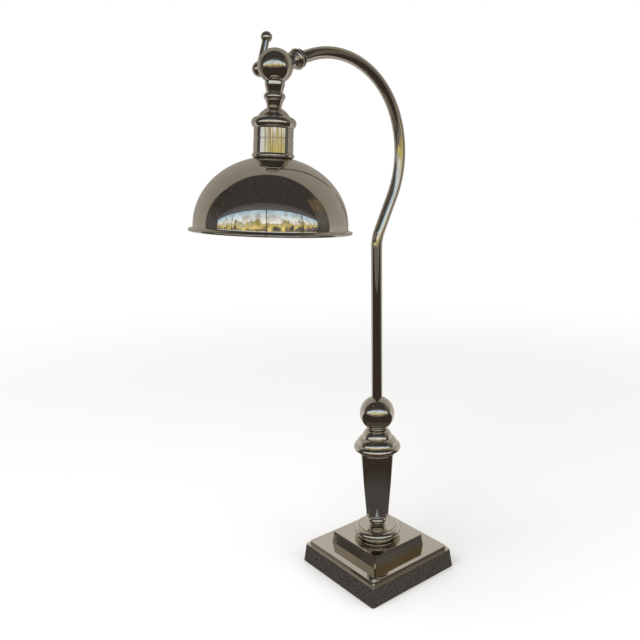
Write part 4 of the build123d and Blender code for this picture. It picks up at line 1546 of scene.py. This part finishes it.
class Board(Enum):
    """Glowing boards that paint a lit room's reflections, which only the lamp's polish shows, with colours by
    height, or by reach for the ground.
    """

    # painted room light: the wall glows brighter towards the floor and darker towards the ceiling
    WALL = (
        (0.0, (0.78, 0.76, 0.72)),
        (0.22, (0.62, 0.60, 0.56)),
        (0.5, (0.43, 0.405, 0.365)),
        (1.0, (0.37, 0.345, 0.305)),
        (2.6, (0.33, 0.305, 0.265)),
    )
    CEILING = ((0.0, (0.080, 0.073, 0.072)), (2.6, (0.080, 0.073, 0.072)))
    HEADER = ((1.7, (0.21, 0.215, 0.225)), (2.6, (0.10, 0.10, 0.105)))
    LEFT = (
        (0.0, (0.085, 0.072, 0.060)),
        (0.8, (0.14, 0.138, 0.135)),
        (1.3, (0.085, 0.075, 0.065)),
        (2.6, (0.064, 0.060, 0.058)),
    )
    RIGHT = (
        (0.0, (0.09, 0.075, 0.06)),
        (0.7, (0.17, 0.172, 0.172)),
        (1.2, (0.17, 0.155, 0.135)),
        (1.7, (0.22, 0.175, 0.11)),
        (2.3, (0.17, 0.135, 0.085)),
        (2.6, (0.064, 0.060, 0.058)),
    )
    # painted reflection of the floor: lighter near the lamp's foot, darker further out
    GROUND = (
        (0.0, (0.130, 0.122, 0.119)),
        (0.19, (0.130, 0.122, 0.119)),
        (0.25, (0.080, 0.063, 0.051)),
        (2.6, (0.074, 0.058, 0.048)),
    )
    POST = ((0.0, (0.05, 0.05, 0.055)), (2.6, (0.05, 0.05, 0.055)))
    # painted reflection of a window: sky and foliage that glow brighter than the other boards
    WINDOW = (
        (0.0, (0.17, 0.165, 0.17)),
        (0.44, (0.22, 0.205, 0.19)),
        (0.54, (0.62, 0.51, 0.19)),
        (0.70, (0.92, 0.77, 0.30)),
        (0.86, (0.40, 0.40, 0.22)),
        (1.00, (0.96, 0.97, 0.95)),
        (1.35, (0.80, 0.92, 1.00)),
        (1.82, (0.50, 0.76, 1.00)),
    )


@dataclass
class Studio:
    """The pale floor, the lamps, the glowing boards of painted room reflections that the polish shows and the
    camera, in metres.
    """

    azimuth: float = -40.4
    pitch: float = 6.74
    roll: float = 0.33
    eye: Spot = (-0.62627, -0.70203, 0.56268)
    focal: float = 697.08
    centre: Point = (360.45, 250.29)
    image: float = 640.0
    sensor: float = 36.0
    room_height: float = 2.6
    wall_distance: float = 0.24
    window_distance: float = 2.2
    window_reach: float = 72.0
    window_top: float = 1.82
    side_reach: float = 118.0
    posts: tuple[float, ...] = (-50.0, 3.0, 50.0)
    post_width: float = 0.045
    yard: float = 16.0
    plank: float = 0.14
    window_margin: float = 8.0
    post_gap: float = 0.1
    ground_lift: float = 0.0003
    joint_share: float = 0.12
    joint_dark: float = 0.45
    floor_radius: float = 2.6
    floor_colour: Colour = (0.93, 0.925, 0.915)
    floor_fade: Point = (0.35, 2.0)
    lamp_aim: Spot = (-0.05, 0.0, 0.3)
    sky_fill: float = 0.62

    @property
    def towards_camera(self) -> Vector:
        """Level direction from the lamp to the camera."""
        angle = math.radians(self.azimuth)
        return Vector((math.sin(angle), -math.cos(angle), 0))

    @property
    def rightwards(self) -> Vector:
        """Level direction to the camera's right."""
        return Vector((0, 0, 1)).cross(self.towards_camera)

    def board_material(self, board: Board, mottle: float, scale: float, ragged: float = 0.0,
                       glow: float = 1.0) -> Material:
        """Material of a board that glows with painted room light, showing its own colours whatever light
        falls on it.

        Args:
            board: The board's colours.
            mottle: How much darker its darkest patches are, from zero to one.
            scale: Number of patches to the metre.
            ragged: How far its colours stray up and down, in metres.
            glow: How bright its brightest patches are.

        Returns:
            The material.
        """
        sheet = Sheet("board_" + board.name.lower())
        sheet.material.cycles.emission_sampling = "NONE"
        sheet.tree.nodes.remove(sheet.shader)
        patches = sheet.add("TexNoise", "Fac", Vector=sheet.place, Scale=scale, Detail=4.0)
        dim = {"To_Min": glow * (1.0 - mottle), "To_Max": glow}
        strength = sheet.add("MapRange", "Result", Value=patches, From_Min=0.35, From_Max=0.65, **dim)
        if board is Board.CEILING:
            strength = self.planked(sheet, strength)
        colour = self.board_colour(sheet, board, patches, ragged)
        # the board glows: its colours are painted room light, which only reflections show
        sheet.show(sheet.add("Emission", "Emission", Color=colour, Strength=strength))
        return sheet.material

    def board_colour(self, sheet: Sheet, board: Board, patches: NodeSocket, ragged: float) -> NodeSocket:
        """Painted colour of a glowing board by its height, or by the reach from the lamp for the ground.

        Args:
            sheet: The board's material.
            board: The board's colours.
            patches: The noise that lets the colours stray.
            ragged: How far they stray, in metres.

        Returns:
            The colour.
        """
        if board is Board.GROUND:
            measure = sheet.add("VectorMath", "Value", sheet.place, operation="LENGTH")
        else:
            measure = sheet.add("SeparateXYZ", "Z", sheet.place)
        stray = sheet.add("Math", "Value", patches, ragged, measure, operation="MULTIPLY_ADD")
        low, high = board.value[0][0], board.value[-1][0]
        ends = {"From_Min": low + ragged / 2, "From_Max": high + ragged / 2}
        shade = sheet.add("ValToRGB", "Color", sheet.add("MapRange", "Result", Value=stray, **ends))
        ramp = shade.node.color_ramp
        ramp.elements[0].color = (*board.value[0][1], 1.0)
        ramp.elements[-1].color = (*board.value[-1][1], 1.0)
        for level, colour in board.value[1:-1]:
            ramp.elements.new((level - low) / (high - low)).color = (*colour, 1.0)
        return shade

    def planked(self, sheet: Sheet, strength: NodeSocket) -> NodeSocket:
        """Darken a board along the joints of its planks, which run towards the window.

        Args:
            sheet: The board's material.
            strength: The board's brightness.

        Returns:
            The brightness with the joints.
        """
        across = sheet.add("VectorMath", "Value", sheet.place, self.rightwards, operation="DOT_PRODUCT")
        fold = sheet.add("Math", "Value", across, self.plank / 2, operation="PINGPONG")
        width, dark = self.joint_share * self.plank, self.joint_dark
        joint = sheet.add("MapRange", "Result", Value=fold, From_Max=width, To_Min=dark)
        return sheet.add("Math", "Value", joint, strength, operation="MULTIPLY")

    def hide(self, board: Object, material: Material) -> None:
        """Let only reflections show a board.

        Args:
            board: The board.
            material: Its material.
        """
        board.data.materials.append(material)
        board.visible_camera = False
        board.visible_diffuse = False
        board.visible_shadow = False
        board.visible_transmission = False

    def flat(self, name: str, size: Point, place: Matrix, material: Material) -> None:
        """Set up one flat board.

        Args:
            name: Name of the board.
            size: Its width and height.
            place: Where its middle goes.
            material: Its material.
        """
        deselect()
        bpy.ops.mesh.primitive_plane_add(size=1.0)
        board = bpy.context.object
        board.name = name
        set_down(board, place @ Matrix.Diagonal((size[0], size[1], 1.0, 1.0)))
        self.hide(board, material)

    def curved(self, name: str, start: float, stop: float, material: Material) -> None:
        """Set up one curved board round the lamp, as high as the room.

        Args:
            name: Name of the board.
            start: Its first edge, in degrees to the camera's left of the camera's direction.
            stop: Its last edge, in the same degrees.
            material: Its material.
        """
        foot = self.towards_camera * self.window_distance
        line = [(foot.x, foot.y, 0.0), (foot.x, foot.y, self.room_height)]
        board = spun(name, line, 1.0, 40, math.radians(stop - start))
        set_down(board, Matrix.Rotation(math.radians(-start), 4, "Z"))
        smooth(board)
        self.hide(board, material)

    def boards(self) -> None:
        """Set up the glowing boards of painted reflections: wall behind, ceiling, ground, window with its
        posts and header, and sides.
        """
        reach, height, top = self.window_reach, self.room_height, self.window_top
        upright = Matrix((self.rightwards, (0, 0, 1), self.towards_camera)).transposed().to_4x4()
        back = -self.towards_camera * self.wall_distance + Vector((0, 0, height / 2))
        behind = Matrix.Translation(back) @ upright
        overhead = Matrix.Translation((0, 0, height))
        underfoot = Matrix.Translation((0, 0, self.ground_lift))
        yard, far = self.yard, self.window_distance
        wide = 2 * far * math.tan(math.radians(reach + self.window_margin))
        facing = self.towards_camera * far
        pane = Matrix.Translation(facing + Vector((0, 0, top / 2))) @ upright
        lintel = Matrix.Translation(facing + Vector((0, 0, (top + height) / 2))) @ upright
        for board, size, place, mottle, scale, ragged, glow in (
            (Board.WALL, (yard, height), behind, 0.06, 2.0, 0.0, 1.0),
            (Board.CEILING, (yard, yard), overhead, 0.25, 6.0, 0.0, 1.0),
            (Board.GROUND, (yard, yard), underfoot, 0.62, 260.0, 0.0, 1.0),
            (Board.WINDOW, (wide, top), pane, 0.55, 2.6, 1.5, 1.5),
            (Board.HEADER, (wide, height - top), lintel, 0.1, 2.0, 0.0, 1.0),
        ):
            material = self.board_material(board, mottle, scale, ragged, glow)
            self.flat(material.name, size, place, material)
        sides = (
            ("board_right", -self.side_reach, -reach, Board.RIGHT),
            ("board_left", reach, self.side_reach, Board.LEFT),
        )
        for name, first, last, board in sides:
            self.curved(name, first, last, self.board_material(board, mottle=0.3, scale=3.0))
        dark = self.board_material(Board.POST, mottle=0.1, scale=3.0)
        for count, post in enumerate(self.posts):
            turn = Matrix.Rotation(math.radians(-post), 4, "Z")
            away = self.towards_camera * (far / math.cos(math.radians(post)) - self.post_gap)
            spot = Matrix.Translation(away + Vector((0, 0, top / 2)))
            self.flat(f"board_post_{count}", (self.post_width, top), turn @ spot @ upright, dark)

    def floor(self) -> None:
        """Lay the pale floor, which fades into the white behind it."""
        deselect()
        bpy.ops.mesh.primitive_circle_add(vertices=96, radius=self.floor_radius, fill_type="NGON")
        floor = bpy.context.object
        floor.name = "studio_floor"
        sheet = Sheet("pale_floor")
        sheet.look(Base_Color=(*self.floor_colour, 1.0), Roughness=0.9, Specular_IOR_Level=0.0)
        reach = sheet.add("VectorMath", "Value", sheet.place, operation="LENGTH")
        ends = {"From_Min": self.floor_fade[0], "From_Max": self.floor_fade[1]}
        fade = sheet.add("MapRange", "Result", Value=reach, interpolation_type="SMOOTHSTEP", **ends)
        clear = sheet.add("BsdfTransparent", "BSDF")
        sheet.show(sheet.add("MixShader", "Shader", fade, sheet.shader.outputs["BSDF"], clear))
        floor.data.materials.append(sheet.material)

    def lamps(self) -> None:
        """Hang two soft lamps and set the white surroundings."""
        for name, ahead, aside, height, size, power in (
            ("key_lamp", 0.9, -1.2, 2.1, 1.6, 34.0),
            ("fill_lamp", 0.7, 1.5, 1.5, 1.4, 12.0),
        ):
            spot = self.towards_camera * ahead + self.rightwards * aside + Vector((0, 0, height))
            light = bpy.data.lights.new(name, "AREA")
            light.energy = power
            light.size = size
            lamp = bpy.data.objects.new(name, light)
            bpy.context.scene.collection.objects.link(lamp)
            lamp.location = spot
            lamp.rotation_euler = (Vector(self.lamp_aim) - spot).to_track_quat("-Z", "Y").to_euler()
            lamp.visible_glossy = False
        world = bpy.data.worlds.new("white_surroundings")
        bpy.context.scene.world = world
        world.use_nodes = True
        graph = Graph(world.node_tree)
        sky = world.node_tree.nodes["Background"].inputs
        ray = graph.add("LightPath", "Is Camera Ray").node.outputs
        seen = graph.add("Math", "Value", ray["Is Camera Ray"], ray["Is Glossy Ray"])
        shown = graph.add("Math", "Value", seen, ray["Is Transmission Ray"])
        graph.feed(sky["Color"], (1.0, 1.0, 1.0, 1.0))
        graph.feed(sky["Strength"], graph.add("MapRange", "Result", Value=shown, To_Min=self.sky_fill))

    def camera(self) -> None:
        """Stand the camera where the photograph was taken."""
        turn, dip, tilt = (math.radians(angle) for angle in (self.azimuth, self.pitch, self.roll))
        forward = Vector((-math.sin(turn) * math.cos(dip), math.cos(turn) * math.cos(dip), -math.sin(dip)))
        right = self.rightwards
        up = right.cross(forward)
        level_right = right * math.cos(tilt) - up * math.sin(tilt)
        level_up = right * math.sin(tilt) + up * math.cos(tilt)
        data = bpy.data.cameras.new("photo_camera")
        data.sensor_width = self.sensor
        data.lens = self.focal / self.image * self.sensor
        data.shift_x = (self.image / 2 - self.centre[0]) / self.image
        data.shift_y = (self.centre[1] - self.image / 2) / self.image
        eye = bpy.data.objects.new("photo_camera", data)
        bpy.context.scene.collection.objects.link(eye)
        eye.matrix_world = Matrix.Translation(self.eye) @ Matrix(
            (level_right, level_up, -forward)
        ).transposed().to_4x4()
        bpy.context.scene.camera = eye

    def build(self) -> None:
        """Build the whole studio."""
        self.floor()
        self.boards()
        self.lamps()
        self.camera()
        bpy.context.scene.view_settings.view_transform = "Standard"


def main() -> None:
    """Load the frame, and build every sub-assembly and the studio."""
    logging.basicConfig(level=logging.INFO, format="%(name)s: %(message)s")
    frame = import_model()
    shop = Workshop(frame)
    shop.dress_nodes()

    tilt = math.radians(3.0)
    down = Vector((-math.sin(tilt), 0, -math.cos(tilt)))
    column = Column()
    crook = Crook(start=column.tube_level)
    knuckle = Knuckle(pivot=crook.pivot, arm=crook.direction, down=down)
    lever = Lever(pivot=crook.pivot, spot=knuckle.level(knuckle.radius, knuckle.spot_face))
    head = Head(pivot=crook.pivot, down=down)
    for assembly in (Base(), column, crook, knuckle, lever, head):
        LOG.info("building %s", type(assembly).__name__)
        assembly.build(shop)
    Studio().build()


if __name__ == "__main__":
    main()
